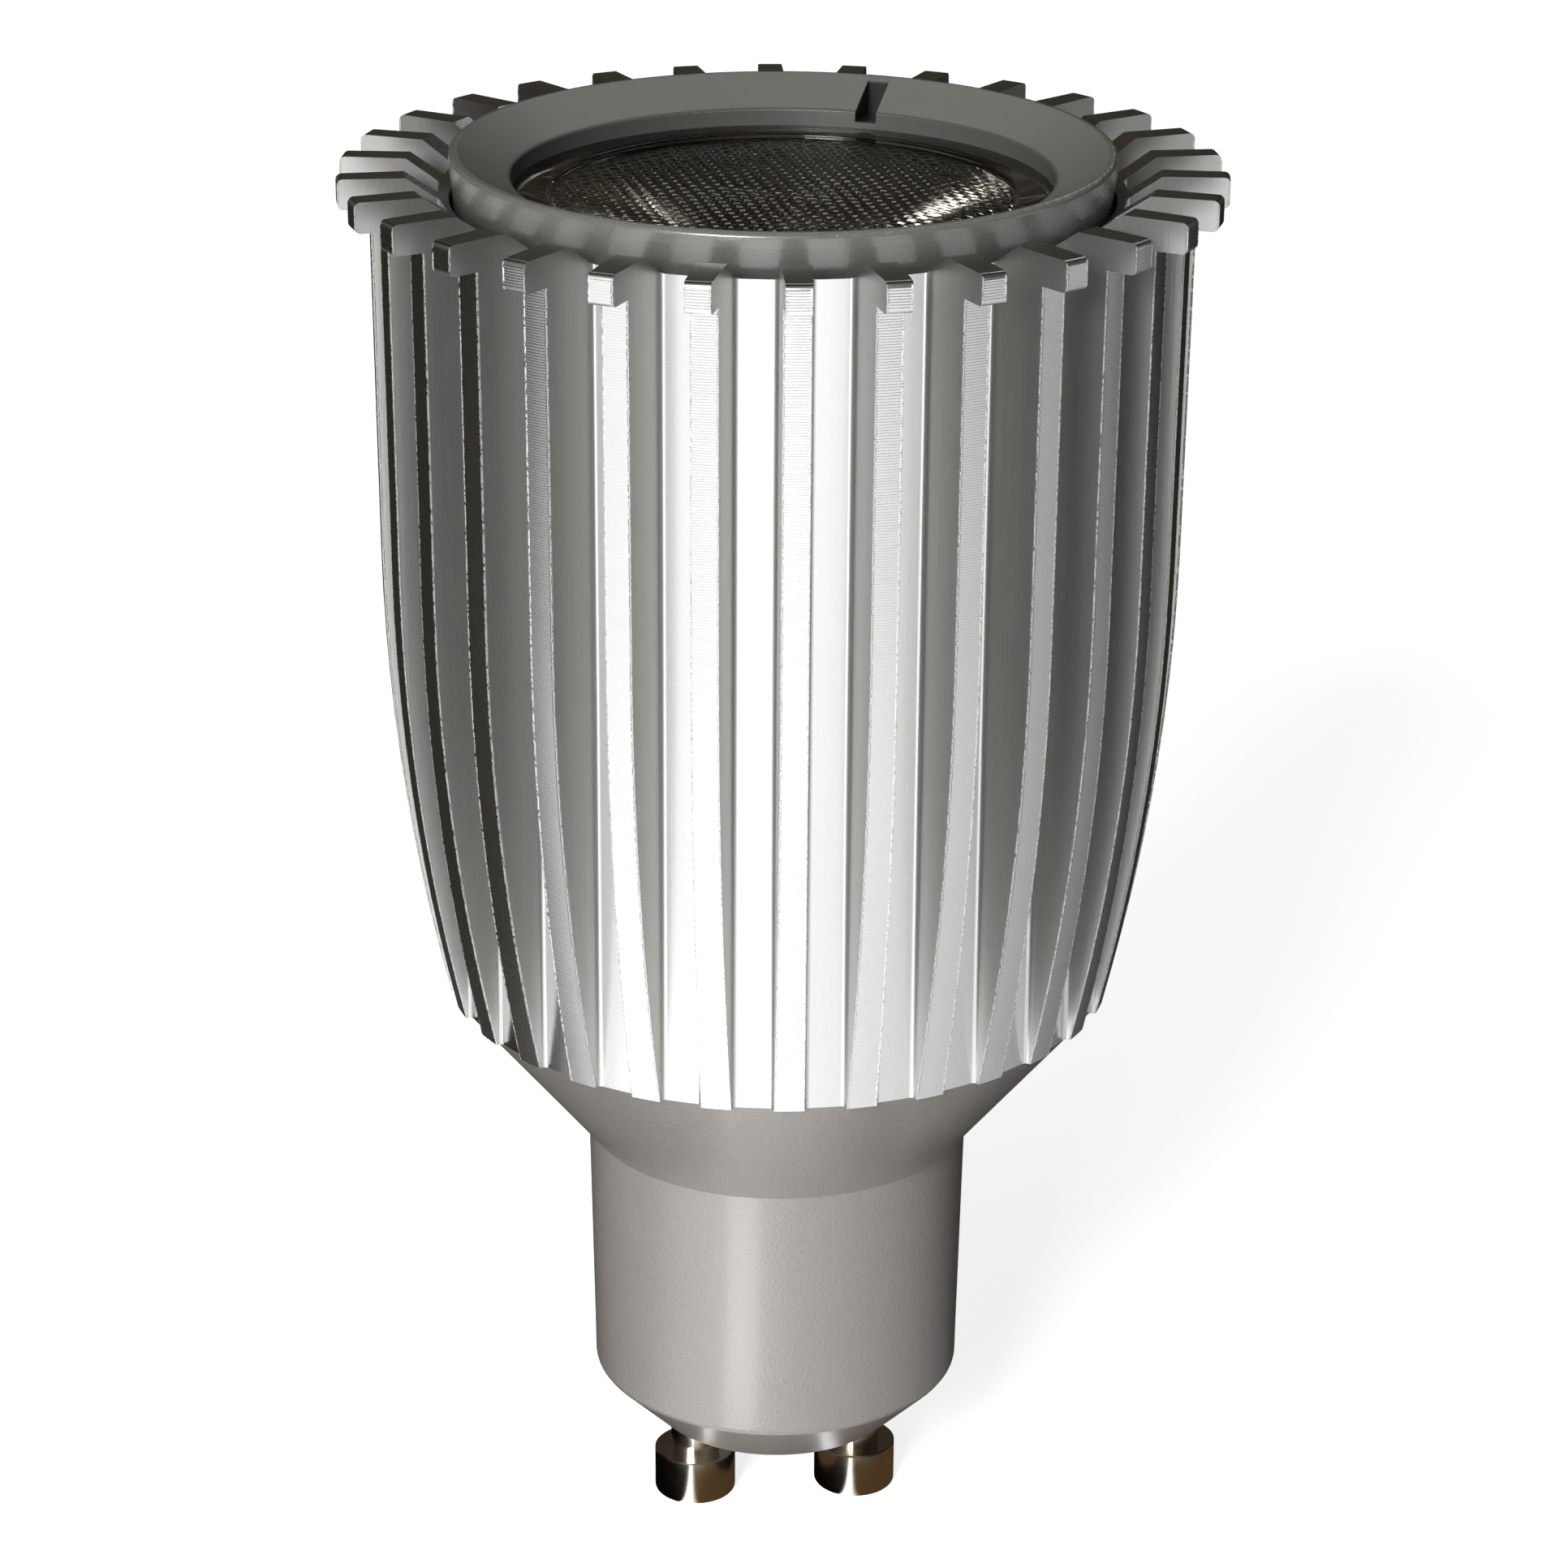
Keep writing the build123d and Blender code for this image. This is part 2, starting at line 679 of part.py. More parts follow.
# Input capacitor: its can stands out from the driver board
input_capacitor_level = cone_level + input_capacitor_rise
with BuildPart() as input_capacitor:
    with BuildSketch(Plane.XZ.offset(-board_front)):
        with Locations((0, input_capacitor_level)):
            Circle(input_capacitor_radius)
    extrude(amount=input_capacitor_length)
    fillet(edges().filter_by(GeomType.CIRCLE).group_by(Axis.Y)[0], can_edge)
    with BuildSketch(Plane.XZ.offset(2 * can_edge - board_front)):
        with Locations((0, input_capacitor_level)):
            Circle(input_capacitor_radius + trim_allowance)
            Circle(input_capacitor_radius - can_groove_depth, mode=Mode.SUBTRACT)
    extrude(amount=can_edge, mode=Mode.SUBTRACT)
input_capacitor.part.label = "input_capacitor"
export_step(input_capacitor.part, "parts/input_capacitor.step")

# Film capacitor between the can and the transformer
film_capacitor_level = input_capacitor_level + input_capacitor_radius + seat_gap
with BuildPart() as film_capacitor:
    with Locations((0, board_front, film_capacitor_level)):
        Box(
            film_capacitor_width,
            film_capacitor_depth,
            film_capacitor_height,
            align=(Align.CENTER, Align.MAX, Align.MIN),
        )
    fillet(edges().group_by(Axis.Y)[0], can_edge)
film_capacitor.part.label = "film_capacitor"
export_step(film_capacitor.part, "parts/film_capacitor.step")

# Output capacitor beside the transformer
side_component_level = transformer_bottom_level + side_component_rise
output_capacitor_x = transformer_width / 2 + side_component_gap + output_capacitor_radius
output_capacitor_y = board_front - output_capacitor_radius - component_gap
with BuildPart() as output_capacitor:
    with Locations((output_capacitor_x, output_capacitor_y, side_component_level)):
        Cylinder(output_capacitor_radius, output_capacitor_length, align=BOTTOM)
    fillet(edges().filter_by(GeomType.CIRCLE).group_by(Axis.Z)[-1], can_edge)
    with BuildSketch(Plane.XY.offset(side_component_level + 2 * can_edge)):
        with Locations((output_capacitor_x, output_capacitor_y)):
            Circle(output_capacitor_radius + trim_allowance)
            Circle(output_capacitor_radius - can_groove_depth, mode=Mode.SUBTRACT)
    extrude(amount=can_edge, mode=Mode.SUBTRACT)
    add_legs(
        output_capacitor_x, output_capacitor_y, side_component_level, output_capacitor_radius
    )
output_capacitor.part.label = "output_capacitor"
export_step(output_capacitor.part, "parts/output_capacitor.step")

# Choke on the other side: a ferrite drum and its winding
choke_x = -transformer_width / 2 - side_component_gap - choke_radius
choke_y = board_front - choke_radius - component_gap
choke_window = choke_length - 2 * choke_flange_height
with BuildPart() as choke_core:
    with Locations((choke_x, choke_y, side_component_level)):
        Cylinder(choke_radius, choke_flange_height, align=BOTTOM)
        Cylinder(choke_post_radius, choke_length, align=BOTTOM)
    with Locations((choke_x, choke_y, side_component_level + choke_length)):
        Cylinder(choke_radius, choke_flange_height, align=TOP)
    add_legs(choke_x, choke_y, side_component_level, choke_radius)
choke_core.part.label = "choke_core"
export_step(choke_core.part, "parts/choke_core.step")

with BuildPart() as choke_winding:
    with BuildSketch(Plane.XY.offset(side_component_level + choke_flange_height)):
        with Locations((choke_x, choke_y)):
            Circle(choke_radius - winding_margin)
            Circle(choke_post_radius + close_clearance, mode=Mode.SUBTRACT)
    extrude(amount=choke_window)
choke_winding.part.label = "choke_winding"
export_step(choke_winding.part, "parts/choke_winding.step")

# Bridge rectifier and driver chip on the back of the driver board
bridge_level = driver_tongue_level - bridge_height
with BuildPart() as bridge_rectifier:
    with Locations((0, board_back, bridge_level)):
        Box(
            bridge_width,
            bridge_depth,
            bridge_height,
            align=(Align.CENTER, Align.MIN, Align.MIN),
        )
    chamfer(edges().group_by(Axis.Y)[-1], chip_edge)
    for leg_x in (-bridge_width / 4, bridge_width / 4):
        with Locations((leg_x, board_back, bridge_level + bridge_height / 2)):
            Box(
                chip_leg_width,
                chip_leg_width,
                bridge_height + 2 * chip_leg_reach,
                align=(Align.CENTER, Align.MIN, Align.CENTER),
            )
bridge_rectifier.part.label = "bridge_rectifier"
export_step(bridge_rectifier.part, "parts/bridge_rectifier.step")

chip_level = transformer_middle_level - chip_height / 2
chip_leg_pitch = chip_height / chip_leg_count
with BuildPart() as driver_chip:
    with Locations((0, board_back, chip_level)):
        Box(chip_width, chip_depth, chip_height, align=(Align.CENTER, Align.MIN, Align.MIN))
    chamfer(edges().group_by(Axis.Y)[-1], chip_edge)
    for leg in range(chip_leg_count):
        with Locations((0, board_back, chip_level + (leg + 0.5) * chip_leg_pitch)):
            Box(
                chip_width + 2 * chip_leg_reach,
                chip_leg_width,
                chip_leg_width,
                align=(Align.CENTER, Align.MIN, Align.CENTER),
            )
driver_chip.part.label = "driver_chip"
export_step(driver_chip.part, "parts/driver_chip.step")

# Fuse resistor across the tongue of the driver board
resistor_level = mains_turn_level + mains_lead_radius + 2 * resistor_radius
resistor_y = board_front - resistor_radius - component_gap
with BuildPart() as fuse_resistor:
    with BuildSketch(Plane.YZ.offset(-resistor_length / 2)):
        with Locations((resistor_y, resistor_level)):
            Circle(resistor_radius)
    extrude(amount=resistor_length)
    fillet(edges().filter_by(GeomType.CIRCLE), can_edge)
    with BuildSketch(Plane.YZ.offset(-resistor_length / 2 - component_leg_rise)):
        with Locations((resistor_y, resistor_level)):
            Circle(component_leg_radius)
    extrude(amount=resistor_length + 2 * component_leg_rise)
    resistor_leg_reach = resistor_length / 2 + component_leg_rise
    for leg_x in (-resistor_leg_reach, resistor_leg_reach):
        with BuildSketch(Plane.XZ.offset(-resistor_y)):
            with Locations((leg_x, resistor_level)):
                Circle(component_leg_radius)
        extrude(amount=-(board_front - resistor_y))
fuse_resistor.part.label = "fuse_resistor"
export_step(fuse_resistor.part, "parts/fuse_resistor.step")
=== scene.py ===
from math import asin, atan2, cos, pi, radians, sin

import bpy
import numpy as np
from bpy.props import FloatProperty, FloatVectorProperty, PointerProperty
from bpy.types import Operator, Panel, PropertyGroup
from mathutils import Matrix, Vector


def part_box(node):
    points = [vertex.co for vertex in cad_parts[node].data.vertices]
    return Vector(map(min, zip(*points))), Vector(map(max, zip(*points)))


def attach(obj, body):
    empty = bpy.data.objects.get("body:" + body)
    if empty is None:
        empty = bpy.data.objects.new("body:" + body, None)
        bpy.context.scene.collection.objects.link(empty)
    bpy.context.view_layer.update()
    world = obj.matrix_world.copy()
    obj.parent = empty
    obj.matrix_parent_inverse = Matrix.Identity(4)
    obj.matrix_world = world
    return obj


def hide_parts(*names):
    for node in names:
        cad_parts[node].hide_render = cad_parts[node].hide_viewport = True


bl_info = {
    "name": "Finned Spot Lamp",
    "version": (1, 0, 0),
    "blender": (4, 5, 0),
    "location": "View3D > Sidebar > Spot Lamp",
    "description": "Finishes for a finned spot lamp, with its dimpled lens, windings, screws and studio",
    "category": "Object",
}

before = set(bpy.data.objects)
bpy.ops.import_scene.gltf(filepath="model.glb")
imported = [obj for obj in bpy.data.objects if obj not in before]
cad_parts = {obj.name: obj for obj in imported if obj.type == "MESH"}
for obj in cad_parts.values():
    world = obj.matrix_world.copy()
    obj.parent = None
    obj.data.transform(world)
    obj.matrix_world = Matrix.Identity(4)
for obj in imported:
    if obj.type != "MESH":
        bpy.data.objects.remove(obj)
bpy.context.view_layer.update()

MM = 0.001
BODY = "root"

# The turned fins, in millimetres and degrees, as the model's source has them
FIN_TURN, FIN_PITCH = 2.03, 12.0
CORE_RADIUS, SHOULDER_RADIUS, TIP_RADIUS = 19.3, 23.2, 25.0
FIN_ROOT_HALF, FIN_TAPER = 0.875, 0.02895
WAIST_LEVEL, TAB_LEVEL, SHOULDER_SLOPE = 62.85, 82.85, 0.0085
ARC_RADIUS, ARC_MIDDLE, ARC_LEVEL = 124.38, -101.345, 63.907

# The bezel ring's bevel and its notch, and where its finish changes: painted shade at the bore and in
# the notch, more gloss on its side, and painted shade low down on that side
NOTCH_ANGLE, NOTCH_HALF = radians(65.6), 0.7
BORE_RADIUS, BEVEL_LEVEL, BEVEL_SLOPE = 15.28, 84.05, 0.585
BORE_EDGE, RING_SIDE, RING_LOW = (15.35, 15.5), (18.1, 18.5), (83.3, 85.0)

# Distance of each contact pin from the lamp's axis
PIN_REACH = 5.0

# How square to a direction a face stands where a finish starts, and where it is full
FACING = (0.6, 0.9)

# Tinned wire and legs
TIN = (0.7, 0.7, 0.7)


def length(name, millimetres, description):
    """A size property in Blender's metres, from millimetres."""
    return FloatProperty(
        name=name, description=description, default=millimetres * MM, subtype="DISTANCE", unit="LENGTH"
    )


def colour(name, default, description):
    """A colour property, with its default in linear light."""
    return FloatVectorProperty(
        name=name, description=description, default=default, subtype="COLOR", size=3, min=0.0, max=1.0
    )


def share(name, default, description):
    """A property from 0 to 1."""
    return FloatProperty(
        name=name, description=description, default=default, min=0.0, max=1.0, subtype="FACTOR"
    )


def strength(name, default, description):
    """A strength of light, from 0 up."""
    return FloatProperty(name=name, description=description, default=default, min=0.0)


def power(name, watts, description):
    """The power of a lamp."""
    return FloatProperty(name=name, description=description, default=watts, subtype="POWER", unit="POWER")


def angle(name, degrees, description):
    """An angle property, from degrees."""
    return FloatProperty(name=name, description=description, default=radians(degrees), subtype="ANGLE")


class StageSettings(PropertyGroup):
    """The floor, the lamps, the cards and the camera."""

    floor_colour: colour("Floor", (0.9, 0.9, 0.9), "Colour of the floor")
    floor_lift: share("Floor lift", 0.83, "Light that the floor adds where it is seen or mirrored")
    ambient: strength("Ambient", 0.14, "World light on the object")
    key_power: power("Key power", 7.0, "Main soft lamp")
    fill_power: power("Fill power", 1.0, "Second soft lamp")
    back_power: power("Back power", 0.11, "Small lamp behind")
    card_colour: colour("Cards", (0.045, 0.04, 0.03), "Colour of the sheet on the floor and the side walls")
    wall_colour: colour("Wall", (0.085, 0.074, 0.052), "Colour of the roof and the walls behind and in front")
    card_turn: angle("Card turn", 15.0, "How far the sheet, the walls and the roof are turned to the right")
    card_glow: strength("Card glow", 6.5, "Light of the bright card near the base")
    floor_glow: strength("Floor glow", 1.3, "Light of the floor to the left, in gloss")
    pin_glow: strength("Pin glow", 2.6, "Light of the two strips that the pins mirror")
    camera_azimuth: angle("Camera azimuth", -6.033, "Where the camera stands, round to the right")
    camera_elevation: angle("Camera elevation", 21.848, "How far the camera looks down")
    camera_roll: angle("Camera roll", 0.403, "Turn of the camera about its line of sight")
    camera_distance: length("Camera distance", 272.11, "From the camera to the point that it looks at")
    camera_target: FloatVectorProperty(
        name="Camera target",
        description="Point that the camera looks at",
        default=(0.29 * MM, 0.0, 47.17 * MM),
        subtype="TRANSLATION",
        unit="LENGTH",
        size=3,
    )
    camera_lens: FloatProperty(
        name="Lens", description="Focal length", default=105.8, subtype="DISTANCE_CAMERA", unit="CAMERA"
    )


class MetalSettings(PropertyGroup):
    """The turned and extruded aluminium, and the plated pins."""

    turned_aluminium: colour("Turned aluminium", (0.82, 0.82, 0.81), "Colour of the turned faces")
    drawn_aluminium: colour("Drawn aluminium", (0.56, 0.56, 0.545), "Colour of the flanks and grooves")
    turned_roughness: share("Turned roughness", 0.22, "Roughness of the turned faces")
    drawn_roughness: share("Drawn roughness", 0.38, "Roughness of the flanks and grooves")
    # The faced tops take a darker colour than the turned ends: painted shade
    shaded_faced_aluminium: colour("Faced aluminium", (0.55, 0.55, 0.53), "Colour of the faced tops")
    lathe_pitch: length("Lathe pitch", 0.155, "Distance between the turned lines on the fins")
    lathe_depth: length("Lathe depth", 0.01, "Depth of the turned lines")
    die_width: length("Die lines", 0.16, "Width of the drawn lines along the flanks")
    die_depth: length("Die depth", 0.005, "Depth of the drawn lines")
    nickel: colour("Nickel", (0.72, 0.65, 0.55), "Colour of the plated pins")


class PlasticSettings(PropertyGroup):
    """The two grey mouldings."""

    ring_colour: colour("Ring", (0.17, 0.17, 0.155), "Colour of the bezel ring")
    base_colour: colour("Base", (0.335, 0.315, 0.298), "Colour of the base")
    grain: length("Ring grain", 0.12, "Size of the moulded grain on the ring")
    base_grain: length("Base grain", 0.2, "Size of the moulded grain on the base")
    grain_depth: length("Ring grain depth", 0.012, "Depth of the moulded grain on the ring")
    base_grain_depth: length("Base grain depth", 0.045, "Depth of the moulded grain on the base")


class LensSettings(PropertyGroup):
    """The clear collimator and the dimples in its face."""

    dimple_pitch: length("Dimple pitch", 0.84, "Distance between the middles of two dimples")
    dimple_depth: length("Dimple depth", 0.12, "Height of each dimple above its rim")
    dimple_turn: angle("Dimple turn", 38.0, "Direction of one row of dimples")
    face_radius: length("Face radius", 13.2, "Radius of the dimpled face")
    face_drop: length("Face drop", 0.35, "How far the face lies below the flange")
    flange_thickness: length("Flange", 1.2, "Thickness of the flange")
    waist_radius: length("Waist radius", 15.3, "Radius of the body under the flange")
    nose_radius: length("Nose radius", 5.6, "Radius of the lower end")
    bulge: length("Bulge", -0.8, "How far the side stands out from its chord, or in when negative")
    well_radius: length("Well radius", 3.6, "Radius of the well over the light source")
    well_depth: length("Well depth", 5.5, "Depth of that well")
    roof_bulge: length("Roof bulge", 0.0, "How far the middle of the well's roof stands down into the well")
    clear: colour("Clear", (0.94, 0.9, 0.8), "Tint of the clear plastic")


class WindingSettings(PropertyGroup):
    """The copper windings inside the lamp."""

    wire: length("Wire", 0.3, "Thickness of the wire with its lacquer")
    winding_corner: length("Corner", 1.2, "Corner radius of the transformer's winding")
    tube_width: length("Tube width", 4.64, "Width of the hole in the transformer's winding")
    tube_depth: length("Tube depth", 6.24, "Depth of the hole in the transformer's winding")
    tube_corner: length("Tube corner", 0.02, "Corner radius of that hole")
    post_radius: length("Post radius", 1.45, "Radius of the hole in the choke's winding")


class Value:
    """Wraps a shader socket, so that arithmetic on values reads as Python."""

    def __init__(self, nodes, socket):
        self.nodes = nodes
        self.socket = socket

    def math(self, operation, *terms):
        return self.nodes.node("ShaderNodeMath", {"operation": operation}, dict(enumerate(terms)))

    def __add__(self, other):
        return self.math("ADD", self, other)

    __radd__ = __add__

    def __sub__(self, other):
        return self.math("SUBTRACT", self, other)

    def __rsub__(self, other):
        return self.math("SUBTRACT", other, self)

    def __mul__(self, other):
        return self.math("MULTIPLY", self, other)

    __rmul__ = __mul__

    def __truediv__(self, other):
        return self.math("DIVIDE", self, other)

    def above(self, other):
        return self.math("MAXIMUM", self, other)

    def size(self):
        return self.math("ABSOLUTE", self)

    def root(self):
        return self.math("SQRT", self)

    def whole(self):
        return self.math("ROUND", self)

    def wave(self):
        return self.math("SINE", self)

    def part(self):
        return self.math("FRACT", self)

    def ramp(self, low, high):
        """Goes evenly from 0 at low to 1 at high."""
        return self.nodes.node("ShaderNodeMapRange", None, {"Value": self, "From Min": low, "From Max": high})

    def step(self, low, high):
        """Goes smoothly from 0 at low to 1 at high."""
        return self.nodes.node(
            "ShaderNodeMapRange",
            {"interpolation_type": "SMOOTHSTEP"},
            {"Value": self, "From Min": low, "From Max": high},
        )


class Nodes:
    """Adds nodes to one node tree."""

    # A Mix node's factor, its two colours going in, and the colour coming out
    FACTOR, FIRST, SECOND, MIXED = 0, 6, 7, 2

    def __init__(self, tree):
        self.tree = tree
        tree.nodes.clear()

    def node(self, kind, settings=None, sockets=None, output=0):
        """Adds a node, makes its settings first and then its sockets, and gives one of its outputs."""
        node = self.tree.nodes.new(kind)
        for name, setting in (settings or {}).items():
            setattr(node, name, setting)
        for name, value in (sockets or {}).items():
            if isinstance(value, Value):
                self.tree.links.new(value.socket, node.inputs[name])
            else:
                node.inputs[name].default_value = value
        return Value(self, node.outputs[output]) if node.outputs else None

    def mix(self, factor, first, second):
        """Mixes two colours."""
        sockets = {self.FACTOR: factor, self.FIRST: self.solid(first), self.SECOND: self.solid(second)}
        return self.node("ShaderNodeMix", {"data_type": "RGBA"}, sockets, output=self.MIXED)

    @staticmethod
    def solid(value):
        """A plain colour as four numbers, or a linked one as it is."""
        return value if isinstance(value, Value) else (*value[:3], 1.0)

    def shade(self, value, factor):
        """A colour times a number that varies."""
        grey = self.node("ShaderNodeCombineColor", None, {0: factor, 1: factor, 2: factor})
        settings = {"data_type": "RGBA", "blend_type": "MULTIPLY"}
        sockets = {self.FACTOR: 1.0, self.FIRST: self.solid(value), self.SECOND: grey}
        return self.node("ShaderNodeMix", settings, sockets, output=self.MIXED)

    def place(self):
        """The three object coordinates, in millimetres."""
        spot = self.node("ShaderNodeTexCoord", output="Object")
        scaled = self.node("ShaderNodeVectorMath", {"operation": "SCALE"}, {0: spot, "Scale": 1 / MM})
        axes = self.node("ShaderNodeSeparateXYZ", None, {0: scaled})
        return [Value(self, output) for output in axes.socket.node.outputs]

    def normal(self):
        """The three parts of the surface's own normal."""
        axes = self.node("ShaderNodeSeparateXYZ", None, {0: self.node("ShaderNodeTexCoord", output="Normal")})
        return [Value(self, output) for output in axes.socket.node.outputs]

    def point(self, x, y, z):
        """A vector from three values."""
        return self.node("ShaderNodeCombineXYZ", None, {0: x, 1: y, 2: z})

    def noise(self, point, scale, detail=2.0, roughness=0.5):
        """Soft noise about 0.5, at a vector or at three values."""
        vector = point if isinstance(point, Value) else self.point(*point)
        sockets = {"Vector": vector, "Scale": scale, "Detail": detail, "Roughness": roughness}
        return self.node("ShaderNodeTexNoise", None, sockets)

    def bump(self, height, depth):
        """A bumped normal from a height that goes from 0 to 1 and is so deep."""
        return self.node("ShaderNodeBump", None, {"Height": height, "Distance": depth, "Strength": 1.0})


class Finish(Nodes):
    """One procedural material."""

    def __init__(self, name):
        self.material = bpy.data.materials.new(name)
        self.material.use_nodes = True
        super().__init__(self.material.node_tree)

    def surface(self, **sockets):
        """Ends the material with a Principled surface: underscores in a name stand for spaces."""
        named = {name.replace("_", " "): value for name, value in sockets.items()}
        for name in ("Base Color", "Emission Color"):
            if name in named:
                named[name] = self.solid(named[name])
        shader = self.node("ShaderNodeBsdfPrincipled", None, named)
        self.node("ShaderNodeOutputMaterial", None, {"Surface": shader})
        return self.material


def dress(node, material):
    """Gives a CAD node a finish of this scene."""
    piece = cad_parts[node]
    piece.data.materials.clear()
    piece.data.materials.append(material)


def add_piece(mesh, node, material):
    """Puts a new mesh in the place of a CAD node."""
    piece = bpy.data.objects.new(mesh.name, mesh)
    bpy.context.scene.collection.objects.link(piece)
    piece.data.materials.append(material)
    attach(piece, BODY)
    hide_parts(node)
    return piece


def smooth_mesh(name, points, faces):
    """A smooth mesh of an array of points and a list of faces."""
    mesh = bpy.data.meshes.new(name)
    mesh.from_pydata(points.tolist(), [], faces)
    mesh.polygons.foreach_set("use_smooth", np.ones(len(faces), bool))
    mesh.update()
    return mesh


def closed_rings(name, rings, first_pole, last_pole):
    """A closed mesh of rings of points, each joined to the next, with a pole that closes each end.

    rings is an array of (ring, point on the ring, xyz), and its points run so that faces look outwards.
    """
    count, around, _ = rings.shape
    points = np.concatenate([rings.reshape(-1, 3), [first_pole, last_pole]])
    ring = np.arange(count - 1)[:, None] * around
    here = np.arange(around)[None, :]
    beyond = (here + 1) % around
    quads = np.stack([ring + here, ring + beyond, ring + around + beyond, ring + around + here], axis=-1)
    start, end = count * around, count * around + 1
    last = (count - 1) * around
    first_fan = np.stack([np.full(around, start), beyond[0], here[0]], axis=-1)
    last_fan = np.stack([last + here[0], last + beyond[0], np.full(around, end)], axis=-1)
    return smooth_mesh(name, points, quads.reshape(-1, 4).tolist() + first_fan.tolist() + last_fan.tolist())


def rounded(corners, radius, steps):
    """The profile through the corners, each inner one cut by an arc that is tangent to both its sides.

    An arc of radius r at a corner whose sides turn by t starts and ends r tan(t / 2) from the corner.
    """
    corners = np.array(corners, float)
    profile = [corners[:1]]
    for before, corner, after in zip(corners[:-2], corners[1:-1], corners[2:]):
        arrive = (corner - before) / np.linalg.norm(corner - before)
        leave = (after - corner) / np.linalg.norm(after - corner)
        turn = atan2(arrive[0] * leave[1] - arrive[1] * leave[0], arrive @ leave)
        reach = radius * abs(np.tan(turn / 2))
        side = np.array([-arrive[1], arrive[0]]) * np.sign(turn)
        centre = corner - arrive * reach + side * radius
        swept = np.linspace(0, turn, steps)[:, None]
        spoke = -side * radius
        across = np.array([-spoke[1], spoke[0]])
        profile.append(centre + spoke * np.cos(swept) + across * np.sin(swept))
    profile.append(corners[-1:])
    return np.concatenate(profile)


def bowed(start, end, rise, steps):
    """Points on the arc from start to end that stands out from its chord by rise, to the right of the way."""
    start, end = np.array(start, float), np.array(end, float)
    chord = np.linalg.norm(end - start)
    along = (end - start) / chord
    out = np.array([along[1], -along[0]])
    radius = (chord ** 2 / 4 + rise ** 2) / (2 * rise)
    half = asin(chord / 2 / radius)
    sweep = np.linspace(-half, half, steps)[:, None]
    centre = (start + end) / 2 - out * (radius - rise)
    return centre + along * radius * np.sin(sweep) + out * radius * np.cos(sweep)


def dimple_height(x, y, pitch, depth, turn):
    """Height of a hexagonal field of round-topped dimples: depth times 1 - (d / reach) squared.

    d is the distance to the nearest point of a triangular lattice, and reach the lattice's largest such d.
    """
    u = x * cos(turn) + y * sin(turn)
    v = y * cos(turn) - x * sin(turn)
    row = pitch * np.sqrt(3)
    near = np.full_like(x, np.inf)
    for shift_u, shift_v in ((0, 0), (pitch / 2, row / 2)):
        du = u - shift_u - pitch * np.round((u - shift_u) / pitch)
        dv = v - shift_v - row * np.round((v - shift_v) / row)
        near = np.minimum(near, du ** 2 + dv ** 2)
    return depth * (1 - near / (pitch / np.sqrt(3)) ** 2)


def evenly_round(width, depth, corner, count):
    """Points at even distances round a rounded rectangle about the origin, and the outward normals there."""
    fine = 1440
    turn = (np.arange(fine) + 0.5) / fine * 2 * pi
    facing = np.stack([np.cos(turn), np.sin(turn)], axis=-1)
    loop = facing * corner + np.sign(facing) * (width / 2 - corner, depth / 2 - corner)
    steps = np.linalg.norm(np.roll(loop, -1, axis=0) - loop, axis=-1)
    way = np.concatenate([[0], np.cumsum(steps)])
    at = np.arange(count) / count * way[-1]
    closed = np.concatenate([loop, loop[:1]])
    normal = np.interp(at, way, np.append(turn, turn[0] + 2 * pi))
    points = np.stack([np.interp(at, way, closed[:, 0]), np.interp(at, way, closed[:, 1])], axis=-1)
    return points, np.stack([np.cos(normal), np.sin(normal)], axis=-1)


def coil(name, middle, height, outer, inner, wire):
    """A winding as a closed ring whose outside is ridged by its turns of wire.

    With s the share of the way round and h the height, a ridge stands out by wire / 2 times
    sqrt(1 - (2 fract(h / wire + s) - 1) squared), so that the ridges climb by one wire in each turn.
    """
    around, samples = 160, 8
    points, normals = evenly_round(*outer, around)
    hole, _ = evenly_round(*inner, around)
    way_round = np.arange(around) / around
    levels = np.linspace(0, height, round(height / wire) * samples + 1)
    swing = 2 * np.mod(levels[:, None] / wire + way_round, 1) - 1
    ridge = wire / 2 * (np.sqrt(1 - swing ** 2) - 1)
    flat = points + normals * ridge[..., None]
    side = np.concatenate([flat, levels[:, None, None] + 0 * flat[..., :1]], axis=-1)
    bore = [np.column_stack([hole, np.full(around, level)]) for level in (height, 0)]
    rings = np.concatenate([side, bore]) + middle
    return closed_loop(name, rings)


def closed_loop(name, rings):
    """A closed mesh of rings of points, each joined to the next and the last to the first."""
    count, around, _ = rings.shape
    ring, here = np.arange(count)[:, None], np.arange(around)[None, :]
    above, beyond = (ring + 1) % count * around, (here + 1) % around
    start = ring * around
    quads = np.stack([start + here, start + beyond, above + beyond, above + here], axis=-1)
    return smooth_mesh(name, rings.reshape(-1, 3), quads.reshape(-1, 4).tolist())


def direction(azimuth, elevation):
    """The unit vector that points so far round from the front to the right, and so far up."""
    return Vector((sin(azimuth) * cos(elevation), -cos(azimuth) * cos(elevation), sin(elevation)))


